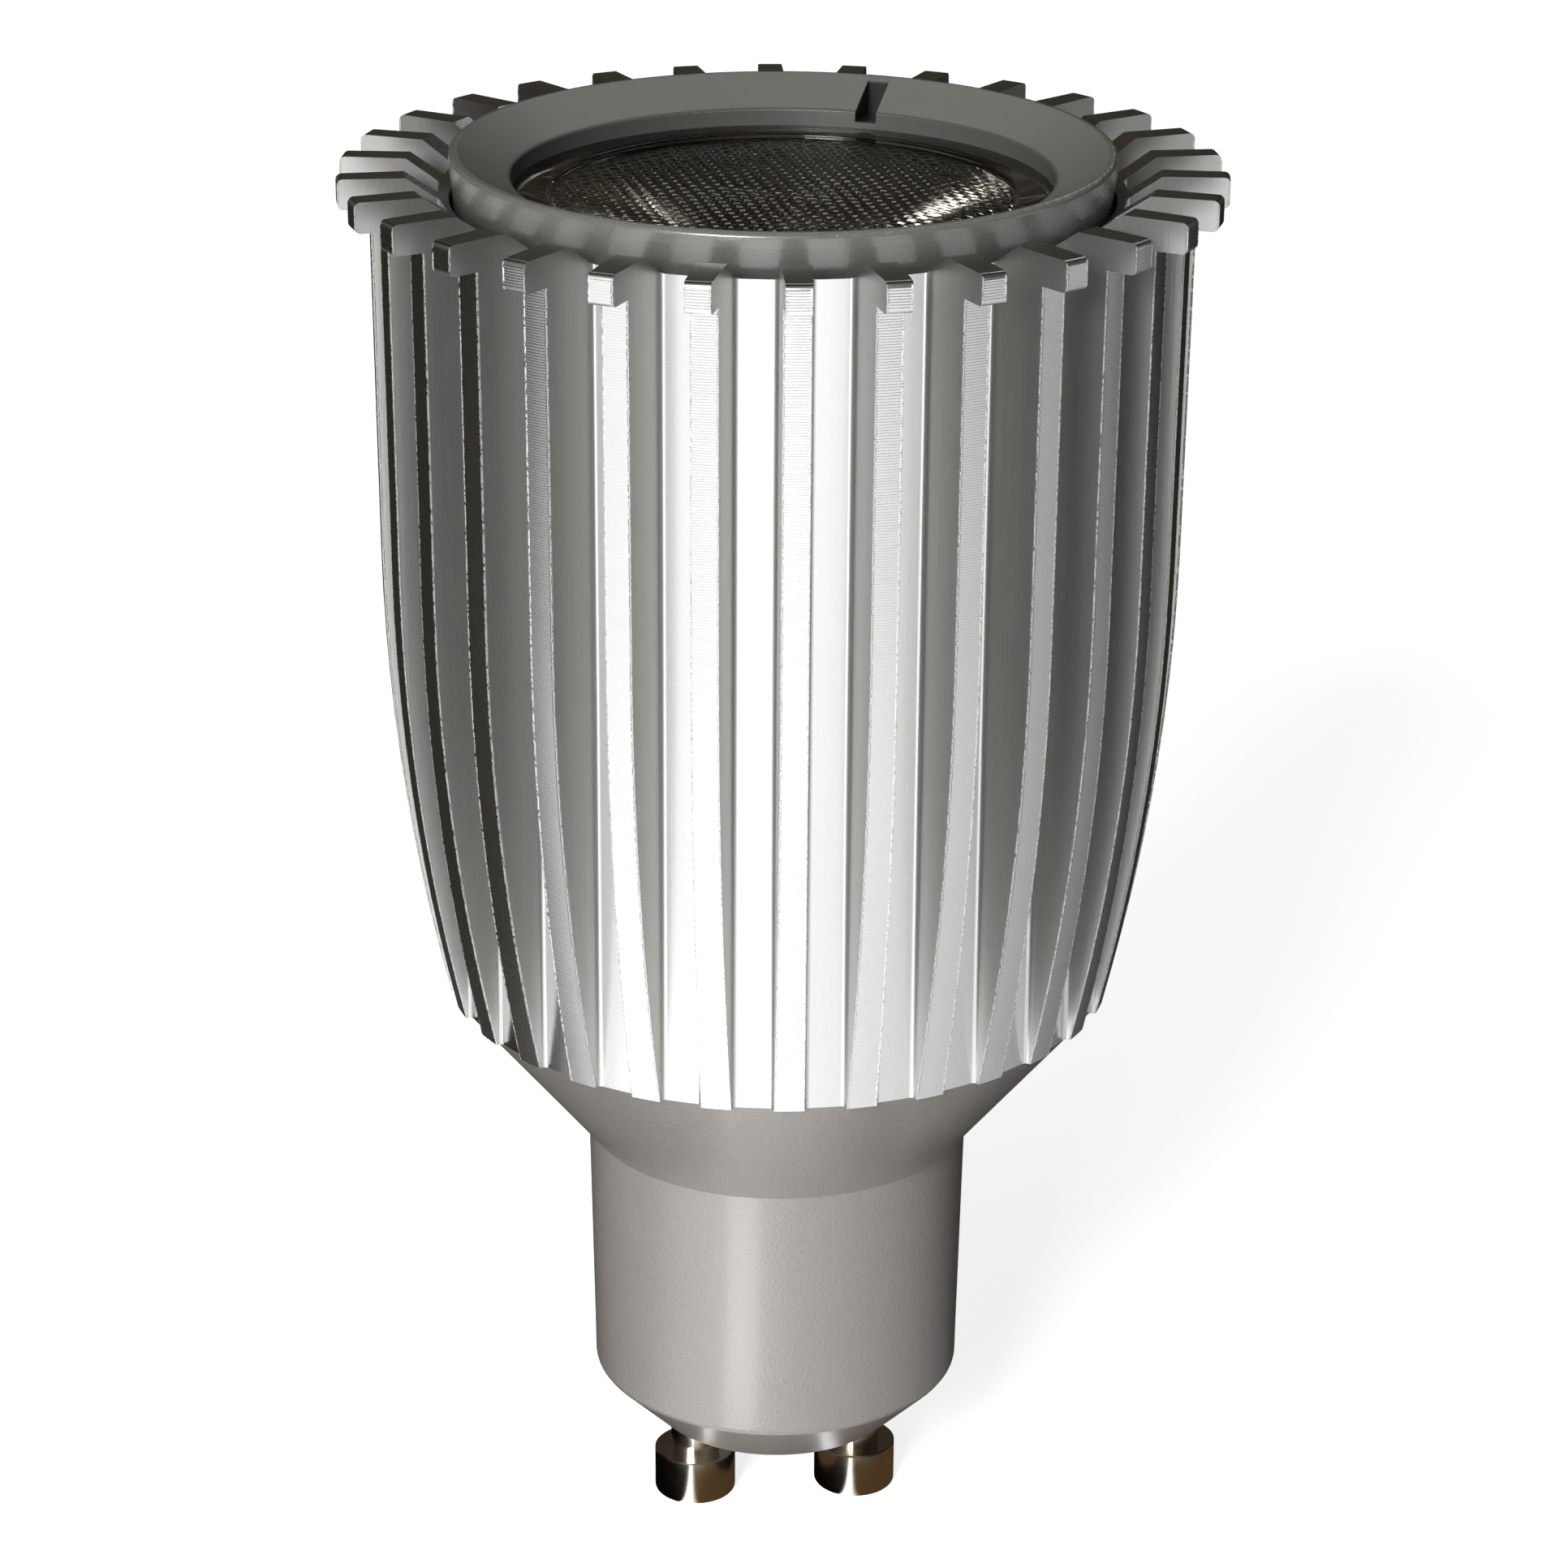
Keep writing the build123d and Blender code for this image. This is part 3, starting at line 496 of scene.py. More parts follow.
class LAMP_OT_stage(Operator):
    """Adds the floor, the soft lamps, the cards and the camera"""

    bl_idname = "lamp.stage"
    bl_label = "Stage"

    # Bearing round to the right and height in degrees, and distance, width and depth in metres, of each lamp
    LAMPS = {
        "key": (-27, 26, 0.9, 0.3, 0.3),
        "fill": (-50, 60, 0.8, 0.4, 0.4),
        "back": (165, 46, 0.45, 0.3, 0.05),
    }
    LAMP_TARGET = Vector((0, 0, 0.05))

    def execute(self, context):
        settings = context.scene.lamp_stage
        self.light_world(context, settings)
        self.lay_floor(settings)
        self.hang_cards(settings)
        self.hang_lamps(settings)
        self.place_camera(context, settings)
        return {"FINISHED"}

    @staticmethod
    def seen(nodes):
        """1 where a ray comes from the camera or from gloss or glass, and 0 elsewhere."""
        path = nodes.node("ShaderNodeLightPath").socket.node.outputs
        rays = ("Is Camera Ray", "Is Glossy Ray", "Is Transmission Ray")
        camera, glossy, clear = [Value(nodes, path[ray]) for ray in rays]
        return camera.above(glossy).above(clear)

    def light_world(self, context, settings):
        """A world that lights the object dimly, and looks white to the camera and in gloss and glass."""
        world = bpy.data.worlds.new("studio")
        world.use_nodes = True
        context.scene.world = world
        nodes = Nodes(world.node_tree)
        dim = (settings.ambient,) * 3
        backdrop = nodes.mix(self.seen(nodes), dim, (1.0, 1.0, 1.0))
        light = nodes.node("ShaderNodeBackground", None, {"Color": backdrop, "Strength": 1.0})
        nodes.node("ShaderNodeOutputWorld", None, {"Surface": light})

    def lay_floor(self, settings):
        """A pale floor that adds some light of its own where it is seen or mirrored."""
        half = 4.0
        corners = [(-half, -half, 0), (half, -half, 0), (half, half, 0), (-half, half, 0)]
        floor = self.flat("floor", corners)
        finish = Finish("floor_paper")
        lift = finish.mix(self.seen(finish), (0.0, 0.0, 0.0), (settings.floor_lift,) * 3)
        finish.surface(
            Base_Color=settings.floor_colour,
            Roughness=1.0,
            Specular_IOR_Level=0.0,
            Emission_Color=lift,
            Emission_Strength=1.0,
        )
        floor.data.materials.append(finish.material)

    def hang_cards(self, settings):
        """Cards that no camera sees: a dark sheet on the floor, four dark walls, a roof and a bright card."""
        right = Vector((cos(settings.card_turn), sin(settings.card_turn), 0))
        back = Vector((-sin(settings.card_turn), cos(settings.card_turn), 0))
        corners = (-right - back, right - back, right + back, back - right)
        # In metres from the lamp's axis, and above the floor
        reach, roof_reach, behind, aside, front, before = 0.9, 5.0, 0.6, 0.5, -0.1, -1.3
        top, sheet_lift, card_lift = [Vector((0, 0, level)) for level in (0.5, 0.03 * MM, 0.06 * MM)]
        cards = {
            "dark_sheet": [corner * reach + sheet_lift for corner in corners],
            "dark_roof": [corner * roof_reach + top for corner in corners],
        }
        feet = {
            "dark_wall": (back * behind - right * reach, back * behind + right * reach),
            "dark_front": (back * before - right * 2 * reach, back * before + right * 2 * reach),
            "dark_left": (right * -aside + back * front, right * -aside + back * reach),
            "dark_right": (right * aside + back * front, right * aside + back * reach),
        }
        for name, (near, far) in feet.items():
            cards[name] = [near, far, far + top, near + top]
        # The bright card lies to the front left, and its half width grows with the distance
        near, far, lean, spread = 26 * MM, 64 * MM, radians(-24), 0.15
        along, across = Vector((sin(lean), -cos(lean), 0)), Vector((cos(lean), sin(lean), 0))
        ends = ((near, -spread), (near, spread), (far, spread), (far, -spread))
        cards["bright_card"] = [along * away + across * away * wide + card_lift for away, wide in ends]
        for name, places in cards.items():
            card = self.flat(name, places)
            card.data.materials.append(self.card_paper(name, settings))
            card.visible_camera = False
            card.visible_diffuse = name == "dark_sheet"
            card.visible_shadow = False

    def card_paper(self, name, settings):
        """The paper of one card: bright, plain and dark, or the pattern of the sheet on the floor."""
        if name == "bright_card":
            return self.bright_paper(name, settings.card_glow)
        if name == "dark_sheet":
            return self.sheet_paper(name, settings)
        beside = name in ("dark_left", "dark_right")
        return self.dark_paper(name, settings.card_colour if beside else settings.wall_colour)

    @staticmethod
    def bright_paper(name, brightness):
        """Paper that shines evenly."""
        finish = Finish(name)
        glow = finish.node("ShaderNodeEmission", None, {"Strength": brightness})
        finish.node("ShaderNodeOutputMaterial", None, {"Surface": glow})
        return finish.material

    @staticmethod
    def dark_paper(name, tint):
        """Plain dark paper."""
        finish = Finish(name)
        dark = finish.node("ShaderNodeBsdfDiffuse", None, {"Color": finish.solid(tint)})
        finish.node("ShaderNodeOutputMaterial", None, {"Surface": dark})
        return finish.material

    @staticmethod
    def sheet_paper(name, settings):
        """Dark paper for the floor. It is clear towards the front, and further out at the left it shines.

        Under the lamp and behind it the paper is black to brown, painted shade that the pins mirror,
        but for a glowing strip near each pin.
        """
        finish = Finish(name)
        strip_shift, strip_lean, strip_start = 0.9, 0.25, 2.4
        black, brown = (0.002, 0.0015, 0.001), (0.16, 0.1, 0.05)
        x, y, _ = finish.place()
        forward = 0.0 - y
        bearing = x.math("ARCTAN2", x, forward)
        distance = (x * x + y * y).root()
        left = (0.0 - bearing).step(radians(52), radians(86))
        aside = bearing.ramp(radians(-20), radians(120)) + left
        from_strip = x - x.math("SIGN", x) * PIN_REACH + strip_shift + (forward - strip_start) * strip_lean
        strip = from_strip.step(-0.5, -0.1) * (1 - from_strip.step(0.1, 1.2))
        # Under the lamp the sheet is black and brown: painted shade for the pins to mirror
        under = (1 - forward.step(7.0, 9.5)) * (1 - x.size().step(14.0, 18.0))
        near = finish.mix(from_strip.step(0.0, 0.4), black, brown)
        tint = finish.mix(under, settings.card_colour, near)
        dark = finish.node("ShaderNodeBsdfDiffuse", None, {"Color": tint})
        clear = finish.node("ShaderNodeBsdfTransparent")
        glow = finish.node("ShaderNodeEmission", None, {"Strength": settings.floor_glow})
        pin_glow = finish.node("ShaderNodeEmission", None, {"Strength": settings.pin_glow})
        beyond = distance.step(85.0, 100.0) * (1 - bearing.step(radians(-22), radians(-12)))
        open_part = finish.node("ShaderNodeMixShader", None, {0: beyond, 1: clear, 2: glow})
        open_part = finish.node("ShaderNodeMixShader", None, {0: strip * under, 1: open_part, 2: pin_glow})
        cover = aside * (1 - under) + under * (1 - strip)
        sheet = finish.node("ShaderNodeMixShader", None, {0: cover, 1: open_part, 2: dark})
        finish.node("ShaderNodeOutputMaterial", None, {"Surface": sheet})
        return finish.material

    @staticmethod
    def flat(name, corners):
        """A four-cornered sheet that isn't part of the lamp."""
        mesh = bpy.data.meshes.new(name)
        mesh.from_pydata([tuple(corner) for corner in corners], [], [(0, 1, 2, 3)])
        sheet = bpy.data.objects.new(name, mesh)
        bpy.context.scene.collection.objects.link(sheet)
        return sheet

    def hang_lamps(self, settings):
        """The soft lamps, each turned to the middle of the object."""
        for name, (azimuth, elevation, distance, width, depth) in self.LAMPS.items():
            light = bpy.data.lights.new(name + "_lamp", "AREA")
            light.energy = getattr(settings, name + "_power")
            light.shape = "RECTANGLE"
            light.size, light.size_y = width, depth
            lamp = bpy.data.objects.new(light.name, light)
            bpy.context.scene.collection.objects.link(lamp)
            out = direction(radians(azimuth), radians(elevation))
            lamp.location = self.LAMP_TARGET + out * distance
            lamp.rotation_mode = "QUATERNION"
            lamp.rotation_quaternion = (-out).to_track_quat("-Z", "Y")
            lamp.visible_camera = False

    @staticmethod
    def place_camera(context, settings):
        """The camera where the photograph was taken from, by a pinhole camera fitted to it."""
        out = direction(settings.camera_azimuth, settings.camera_elevation)
        data = bpy.data.cameras.new("camera")
        data.lens = settings.camera_lens
        data.sensor_width = 36.0
        data.clip_start = 0.01
        camera = bpy.data.objects.new("camera", data)
        context.scene.collection.objects.link(camera)
        turned = (-out).to_track_quat("-Z", "Y").to_matrix() @ Matrix.Rotation(settings.camera_roll, 3, "Z")
        place = Vector(settings.camera_target) + out * settings.camera_distance
        camera.matrix_world = Matrix.Translation(place) @ turned.to_4x4()
        context.scene.camera = camera
        context.scene.view_settings.view_transform = "Standard"


class LAMP_OT_heatsink(Operator):
    """Finishes the heatsink: turned fin ends, drawn flanks, faced tops"""

    bl_idname = "lamp.heatsink"
    bl_label = "Heatsink"

    def execute(self, context):
        settings = context.scene.lamp_metal
        finish = Finish("satin_aluminium")
        x, y, z = finish.place()
        nx, ny, nz = finish.normal()
        reach = (x * x + y * y).root()
        outward = (nx * x + ny * y) / reach
        on_end = outward.step(*FACING)
        turned = on_end * reach.step(CORE_RADIUS + 0.12, CORE_RADIUS + 0.2)
        groove = on_end * (1 - turned)
        faced = nz.size().step(*FACING)
        flank = (1 - on_end) * (1 - faced)

        pitch = settings.lathe_pitch / MM
        drift = finish.noise((x * 0.15, y * 0.15, z), 1.0, detail=3.0)
        lathe = ((z + drift * pitch) * (2 * pi / pitch)).wave() * 0.35 + drift
        die = finish.noise((x, y, z * 0.015), MM / settings.die_width, detail=3.0, roughness=0.6)
        facing = finish.noise((reach, 0.0, 0.0), 5.0, detail=3.0)
        grain = finish.noise((x, y, z), 9.0)

        # Burrs and nicks along the fins' edges, and a few pits in their ends
        speck = finish.noise((x, y, z * 0.8), 6.0, detail=3.0, roughness=0.65)
        edge = nz.size().step(0.1, 0.3) * (1 - faced)
        rim = self.rim_distance(x, y, z, reach, on_end)
        worn = turned + flank
        burr_reach, nick_reach = (0.05, 0.13), (0.01, 0.05)
        burr = ((1 - rim.step(*burr_reach)) * speck.step(0.42, 0.56) * worn).above(edge * 0.3)
        nick = (1 - rim.step(*nick_reach)) * (1 - speck.step(0.35, 0.5)) * turned
        pit = turned * speck.step(0.72, 0.78) * 0.4 + nick

        height = turned * lathe * (settings.lathe_depth / settings.die_depth) + flank * die
        height = height + groove * die * 0.6 + faced * facing + grain * 0.5 + burr * 5.0
        tint = finish.mix(flank, settings.turned_aluminium, settings.drawn_aluminium)
        # Faced tops darker than the turned ends: painted shade
        tint = finish.mix(faced, tint, settings.shaded_faced_aluminium)
        tint = finish.mix(burr, tint, settings.turned_aluminium)
        tone = 0.93 + 0.14 * (turned * (lathe - 0.5) * 0.35 + flank * (die - 0.5) + (grain - 0.5)) - 0.6 * pit
        roughness = settings.turned_roughness + (settings.drawn_roughness - settings.turned_roughness) * flank
        finish.surface(
            Base_Color=finish.shade(tint, tone),
            Metallic=1.0,
            Roughness=roughness + 0.1 * (grain - 0.5) + 0.45 * burr,
            Normal=finish.bump(height, settings.die_depth),
        )
        dress("heatsink", finish.material)
        return {"FINISHED"}

    @staticmethod
    def rim_distance(x, y, z, reach, on_end):
        """Distance in millimetres to the edge between a fin's end face and its flank.

        On an end face it is the fin's half thickness less the distance from the fin's middle plane. On a
        flank it is the turned outline's radius at that height, a line above the waist and an arc below,
        less the reach.
        """
        fin = (y.math("ARCTAN2", y, x) - radians(FIN_TURN)) / radians(FIN_PITCH) + 0.5
        aside = reach * ((fin.part() - 0.5) * radians(FIN_PITCH)).wave()
        half = FIN_ROOT_HALF - FIN_TAPER * (reach - CORE_RADIUS)
        below = z.math("MINIMUM", z, WAIST_LEVEL) - ARC_LEVEL
        arc = (ARC_RADIUS ** 2 - below * below).root() + ARC_MIDDLE
        outline = arc + SHOULDER_SLOPE * (z - WAIST_LEVEL).above(0.0)
        outline = outline + (TIP_RADIUS - SHOULDER_RADIUS) * z.step(TAB_LEVEL - 0.02, TAB_LEVEL + 0.02)
        on_side = (outline - reach).size()
        return (half - aside.size()) * on_end + on_side * (1 - on_end)


class LAMP_OT_mouldings(Operator):
    """Finishes the bezel ring and the base housing"""

    bl_idname = "lamp.mouldings"
    bl_label = "Ring and base"

    def execute(self, context):
        settings = context.scene.lamp_plastic
        ring = (settings.ring_colour, settings.grain, settings.grain_depth)
        base = (settings.base_colour, settings.base_grain, settings.base_grain_depth)
        dress("bezel_ring", self.moulded("ring_plastic", *ring, roughness=0.28, coat=0.8))
        dress("base_housing", self.moulded("base_plastic", *base, roughness=0.4, coat=0.6))
        return {"FINISHED"}

    @staticmethod
    def moulded(name, tint, grain_size, grain_depth, roughness, coat):
        """Satin plastic with a fine moulded grain and some mottle. The ring's outer side is glossier.

        On the ring, painted shade darkens the notch's floor, the bore and the low part of the outer side.
        """
        finish = Finish(name)
        x, y, z = finish.place()
        spot = finish.point(x, y, z)
        grain = finish.noise(spot, MM / grain_size)
        mottle = finish.noise(spot, 0.35, detail=3.0)
        tone = 0.97 + 0.06 * mottle + 0.2 * (grain - 0.5)
        coat_index = 1.5
        if name == "ring_plastic":
            coat_index = 1.7
            reach = (x * x + y * y).root()
            along = x * cos(NOTCH_ANGLE) + y * sin(NOTCH_ANGLE)
            across = y * cos(NOTCH_ANGLE) - x * sin(NOTCH_ANGLE)
            depth = BEVEL_LEVEL + BEVEL_SLOPE * (reach - BORE_RADIUS) - z
            in_notch = 1 - across.size().step(NOTCH_HALF - 0.04, NOTCH_HALF)
            # The notch's floor goes almost black and the bore darker by almost half: painted shade
            notch_shade = in_notch * along.step(*BORE_EDGE) * depth.step(0.1, 0.4)
            tone = tone * (1 - 0.97 * notch_shade) * (0.55 + 0.45 * reach.step(*BORE_EDGE))
            side = reach.step(*RING_SIDE)
            coat = coat * side
            # The outer side darkens towards the bottom: painted shade
            tone = tone * (1 - 0.5 * side * (1 - z.step(*RING_LOW)))
            roughness = roughness + 0.12 * (1 - side)
        return finish.surface(
            Base_Color=finish.shade(tint, tone),
            Roughness=roughness + 0.12 * (grain - 0.5) + 0.05 * (mottle - 0.5),
            Normal=finish.bump(grain, grain_depth),
            IOR=1.55,
            Coat_Weight=coat,
            Coat_Roughness=0.2,
            Coat_IOR=coat_index,
        )


class LAMP_OT_pins(Operator):
    """Finishes the two plated contact pins"""

    bl_idname = "lamp.pins"
    bl_label = "Contact pins"

    def execute(self, context):
        settings = context.scene.lamp_metal
        finish = Finish("nickel_plate")
        x, y, z = finish.place()
        turned = finish.noise((x * 0.3, y * 0.3, z), 12.0)
        cloud = finish.noise((x, y, z), 1.3, detail=3.0)
        finish.surface(
            Base_Color=finish.shade(settings.nickel, 0.92 + 0.12 * cloud),
            Metallic=1.0,
            Roughness=0.13 + 0.12 * cloud,
            Normal=finish.bump(turned, 0.0008 * MM),
        )
        for node in ("contact_pin_left", "contact_pin_right"):
            dress(node, finish.material)
        return {"FINISHED"}


class LAMP_OT_lens(Operator):
    """Makes the clear lens with its dimpled face"""

    bl_idname = "lamp.lens"
    bl_label = "Lens"

    def execute(self, context):
        settings = context.scene.lamp_lens
        mesh = self.turned_lens(settings)
        add_piece(mesh, "lens", self.clear_plastic(settings))
        return {"FINISHED"}

    @staticmethod
    def turned_lens(settings):
        """The lens turned about Z from its profile, with the dimples added to the height of its face.

        The profile goes from the roof of the well, out and up round the body, and back in over the face.
        """
        low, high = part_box("lens")
        edge = 0.12 * MM
        nose, top, flange_radius = low.z, high.z, high.x
        roof = nose + settings.well_depth
        flange = top - settings.flange_thickness
        face = top - settings.face_drop
        around, rows, roof_rows, edge_rows, side_rows = 480, 96, 16, 3, 25
        across = np.linspace(edge, settings.well_radius - 2 * edge, roof_rows)
        cap = roof - settings.roof_bulge * (1 - (across / settings.well_radius) ** 2)
        cap = np.stack([across, cap], axis=-1)
        wall = [
            cap[-1],
            (settings.well_radius, roof),
            (settings.well_radius, nose),
            (settings.nose_radius, nose),
        ]
        well = np.concatenate([cap[:-1], rounded(wall, edge, edge_rows)])
        body = bowed(wall[-1], (settings.waist_radius, flange), settings.bulge, side_rows)
        rim = rounded(
            [
                (settings.waist_radius + edge, flange),
                (flange_radius, flange),
                (flange_radius, top),
                (settings.face_radius, top),
                (settings.face_radius, face),
                (settings.face_radius - 2 * edge, face),
            ],
            edge,
            edge_rows,
        )
        dish = np.linspace(settings.face_radius - 2.5 * edge, settings.face_radius / rows, rows)
        disc = np.stack([dish, np.full(rows, face)], axis=-1)
        profile = np.concatenate([well, body[1:], rim, disc])
        turn = np.linspace(0, 2 * pi, around, endpoint=False)
        radius, height = profile[:, :1], profile[:, 1:]
        x, y = radius * np.cos(turn), radius * np.sin(turn)
        z = height + 0 * turn
        dimple = (settings.dimple_pitch, settings.dimple_depth, settings.dimple_turn)
        z[-rows:] += dimple_height(x[-rows:], y[-rows:], *dimple)
        rings = np.stack([x, y, z], axis=-1)
        centre = face + dimple_height(np.zeros(1), np.zeros(1), *dimple)[0]
        return closed_rings("dimpled_lens", rings, (0, 0, roof - settings.roof_bulge), (0, 0, centre))

    @staticmethod
    def clear_plastic(settings):
        """Clear plastic with a slight haze."""
        finish = Finish("clear_plastic")
        haze = finish.noise(finish.place(), 2.0, detail=3.0)
        return finish.surface(
            Base_Color=finish.shade(settings.clear, 0.98 + 0.03 * haze),
            Roughness=0.03 + 0.04 * haze,
            IOR=1.49,
            Transmission_Weight=1.0,
        )


class LAMP_OT_inside(Operator):
    """Finishes the pieces inside the lamp"""

    bl_idname = "lamp.inside"
    bl_label = "Inside"

    # Colour, roughness, metal share, grain size in millimetres, grain depth and coat of each plain finish
    PLAIN = {
        "lens_holder": ((0.009, 0.008, 0.006), 0.4, 0.0, 0.15, 0.006, 0.0),
        "led_package": ((0.8, 0.79, 0.75), 0.35, 0.0, 0.08, 0.002, 0.3),
        "led_phosphor": ((0.83, 0.62, 0.09), 0.3, 0.0, 0.25, 0.006, 0.6),
        "thermal_pad": ((0.36, 0.42, 0.5), 0.75, 0.0, 0.2, 0.01, 0.0),
        "insulating_cap": ((0.66, 0.64, 0.57), 0.6, 0.0, 0.12, 0.004, 0.0),
        "transformer_core": ((0.045, 0.045, 0.05), 0.42, 0.25, 0.1, 0.006, 0.0),
        "choke_core": ((0.045, 0.045, 0.05), 0.42, 0.25, 0.1, 0.006, 0.0),
        "transformer_bobbin": ((0.02, 0.02, 0.022), 0.35, 0.0, 0.12, 0.003, 0.2),
        "film_capacitor": ((0.5, 0.27, 0.03), 0.25, 0.0, 0.6, 0.02, 0.7),
    }
    # Colour of each lead's sleeving
    LEADS = {
        "mains_lead_left": (0.13, 0.045, 0.02),
        "mains_lead_right": (0.13, 0.045, 0.02),
        "led_lead_positive": (0.42, 0.018, 0.012),
        "led_lead_negative": (0.014, 0.014, 0.015),
    }
    # Place along the resistor in millimetres, and colour, of each of its bands
    BANDS = (
        (-1.8, (0.3, 0.12, 0.03)),
        (-0.9, (0.02, 0.02, 0.02)),
        (0.0, (0.02, 0.02, 0.02)),
        (1.7, (0.5, 0.36, 0.1)),
    )

    def execute(self, context):
        for node, look in self.PLAIN.items():
            dress(node, self.plain(node, *look))
        for node, tint in self.LEADS.items():
            dress(node, self.sleeving(node, tint))
        dress("led_board", self.white_lacquer())
        dress("driver_board", self.laminate())
        dress("input_capacitor", self.can("input_capacitor", "y"))
        dress("output_capacitor", self.can("output_capacitor", "z"))
        dress("bridge_rectifier", self.chip("bridge_rectifier", dimple_z=2.0))
        dress("driver_chip", self.chip("driver_chip", dimple_z=1.0))
        dress("fuse_resistor", self.banded_lacquer())
        dress("board_screws", self.zinc("board_screws", reach=9.6, pitch=0.4))
        dress("housing_screws", self.zinc("housing_screws", reach=13.5, pitch=0.5))
        self.wind(context.scene.lamp_winding)
        return {"FINISHED"}

    @staticmethod
    def plain(name, tint, roughness, metal, grain_size, depth, coat):
        """A moulded, sintered or dipped finish: an even colour with fine grain and slow mottle."""
        finish = Finish(name + "_finish")
        spot = finish.point(*finish.place())
        grain = finish.noise(spot, 1 / grain_size)
        mottle = finish.noise(spot, 0.5, detail=3.0)
        return finish.surface(
            Base_Color=finish.shade(tint, 0.88 + 0.14 * mottle + 0.1 * grain),
            Metallic=metal,
            Roughness=roughness + 0.15 * (grain - 0.5) + 0.1 * (mottle - 0.5),
            Coat_Weight=coat,
            Normal=finish.bump(grain, depth * MM),
        )

    @staticmethod
    def sleeving(name, tint):
        """Soft wire sleeving with faint lines from its drawing and a little dust."""
        finish = Finish(name + "_sleeving")
        x, y, z = finish.place()
        lines = finish.noise((x * 6.0, y * 6.0, z * 0.4), 1.0)
        dust = finish.noise((x, y, z), 1.5, detail=3.0)
        sleeve = finish.shade(tint, 0.85 + 0.3 * lines)
        return finish.surface(
            Base_Color=finish.mix(dust.step(0.55, 0.8) * 0.12, sleeve, (0.4, 0.38, 0.35)),
            Roughness=0.42 + 0.2 * dust,
            Normal=finish.bump(lines, 0.004 * MM),
        )

    @staticmethod
    def white_lacquer():
        """White lacquer on a metal-core board: bare metal at the rim, and two tinned pads by the leads."""
        finish = Finish("white_lacquer")
        pad_place, track_place = 8.6, 6.0
        x, y, z = finish.place()
        _, _, nz = finish.normal()
        reach = (x * x + y * y).root()
        peel = finish.noise((x, y, z), 3.0)
        lead = radians(60.0)
        along = (x * cos(lead)).size() + (y * sin(lead)).size()
        off = (x * sin(lead)).size() - (y * cos(lead)).size()
        top = nz.step(0.5, 0.9) * y.step(0.0, 0.1)
        pad = (1 - off.size().step(0.9, 1.0)) * (1 - (along - pad_place).size().step(1.1, 1.2)) * top
        track = (1 - off.size().step(0.5, 0.6)) * (1 - (along - track_place).size().step(2.4, 2.5)) * top
        bare = (1 - nz.size().step(0.4, 0.8)).above(pad)
        lacquer = finish.shade((0.8, 0.8, 0.78), 0.95 + 0.1 * peel - 0.08 * track)
        rings = finish.noise((reach, 0.0, z), 6.0)
        return finish.surface(
            Base_Color=finish.mix(bare, lacquer, (0.6, 0.6, 0.61)),
            Metallic=bare,
            Roughness=0.3 + 0.15 * peel,
            Normal=finish.bump(peel * 0.5 + track + rings * 0.2, 0.02 * MM),
        )

    @staticmethod
    def laminate():
        """Green solder mask over a glass weave and copper tracks, with tinned pads on a coarse grid."""
        finish = Finish("laminate")
        weave_pitch, grid, lane_width, lane_length = 0.45, 2.54, 1.27, 5.08
        x, _, z = finish.place()
        _, ny, _ = finish.normal()
        face = ny.size().step(0.5, 0.9)
        weave = (x * (2 * pi / weave_pitch)).wave() * (z * (2 * pi / weave_pitch)).wave()
        lane = finish.noise(((x / lane_width).whole(), 0.0, (z / lane_length).whole()), 3.1)
        chosen = finish.noise(((x / grid).whole(), 0.0, (z / grid).whole()), 5.3)
        across = ((x / lane_width + 0.5).part() - 0.5).size()
        track = (1 - across.step(0.24, 0.28)) * lane.step(0.5, 0.52) * face
        cell_x = (x / grid + 0.5).part() - 0.5
        cell_z = (z / grid + 0.5).part() - 0.5
        spot = (cell_x * cell_x + cell_z * cell_z).root()
        pad = (1 - spot.step(0.27, 0.29)) * chosen.step(0.54, 0.55) * face
        hole = (1 - spot.step(0.12, 0.14)) * pad
        green = finish.mix(track, (0.012, 0.13, 0.035), (0.03, 0.24, 0.06))
        edge = finish.mix(face, (0.42, 0.4, 0.2), green)
        tint = finish.mix(pad, edge, finish.shade((0.7, 0.7, 0.72), 1 - 0.9 * hole))
        return finish.surface(
            Base_Color=finish.shade(tint, 0.96 + 0.04 * weave),
            Metallic=pad,
            Roughness=0.32 + 0.2 * (1 - face) + 0.03 * weave,
            Normal=finish.bump(weave * 0.1 + track + pad * 2.0 - hole * 3.0, 0.03 * MM),
        )

    @staticmethod
    def can(node, axis):
        """A capacitor: plain dark sleeve on its side, bare aluminium with a scored cross on its end."""
        finish = Finish(node + "_can")
        place = dict(zip("xyz", finish.place()))
        low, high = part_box(node)
        middle = {name: (low[index] + high[index]) / 2 / MM for index, name in enumerate("xyz")}
        facing = dict(zip("xyz", finish.normal()))
        others = [place[name] - middle[name] for name in "xyz" if name != axis]
        reach = (others[0] * others[0] + others[1] * others[1]).root()
        radius = max(high[index] - low[index] for index, name in enumerate("xyz") if name != axis) / 2 / MM
        end = facing[axis].size().step(*FACING)
        bare = end * (1 - reach.step(radius - 0.75, radius - 0.6))
        cross = (1 - others[0].size().step(0.1, 0.16)).above(1 - others[1].size().step(0.1, 0.16)) * bare
        wrinkle = finish.noise(place.values(), 2.5, detail=3.0)
        spun = finish.noise((reach, 0.0, 0.0), 9.0)
        sleeve = finish.shade((0.02, 0.022, 0.045), 0.8 + 0.4 * wrinkle)
        return finish.surface(
            Base_Color=finish.mix(bare, sleeve, (0.75, 0.75, 0.76)),
            Metallic=bare,
            Roughness=0.3 + 0.1 * wrinkle,
            Normal=finish.bump(wrinkle * 0.3 + bare * spun * 0.3 - cross * 2.0, 0.04 * MM),
        )

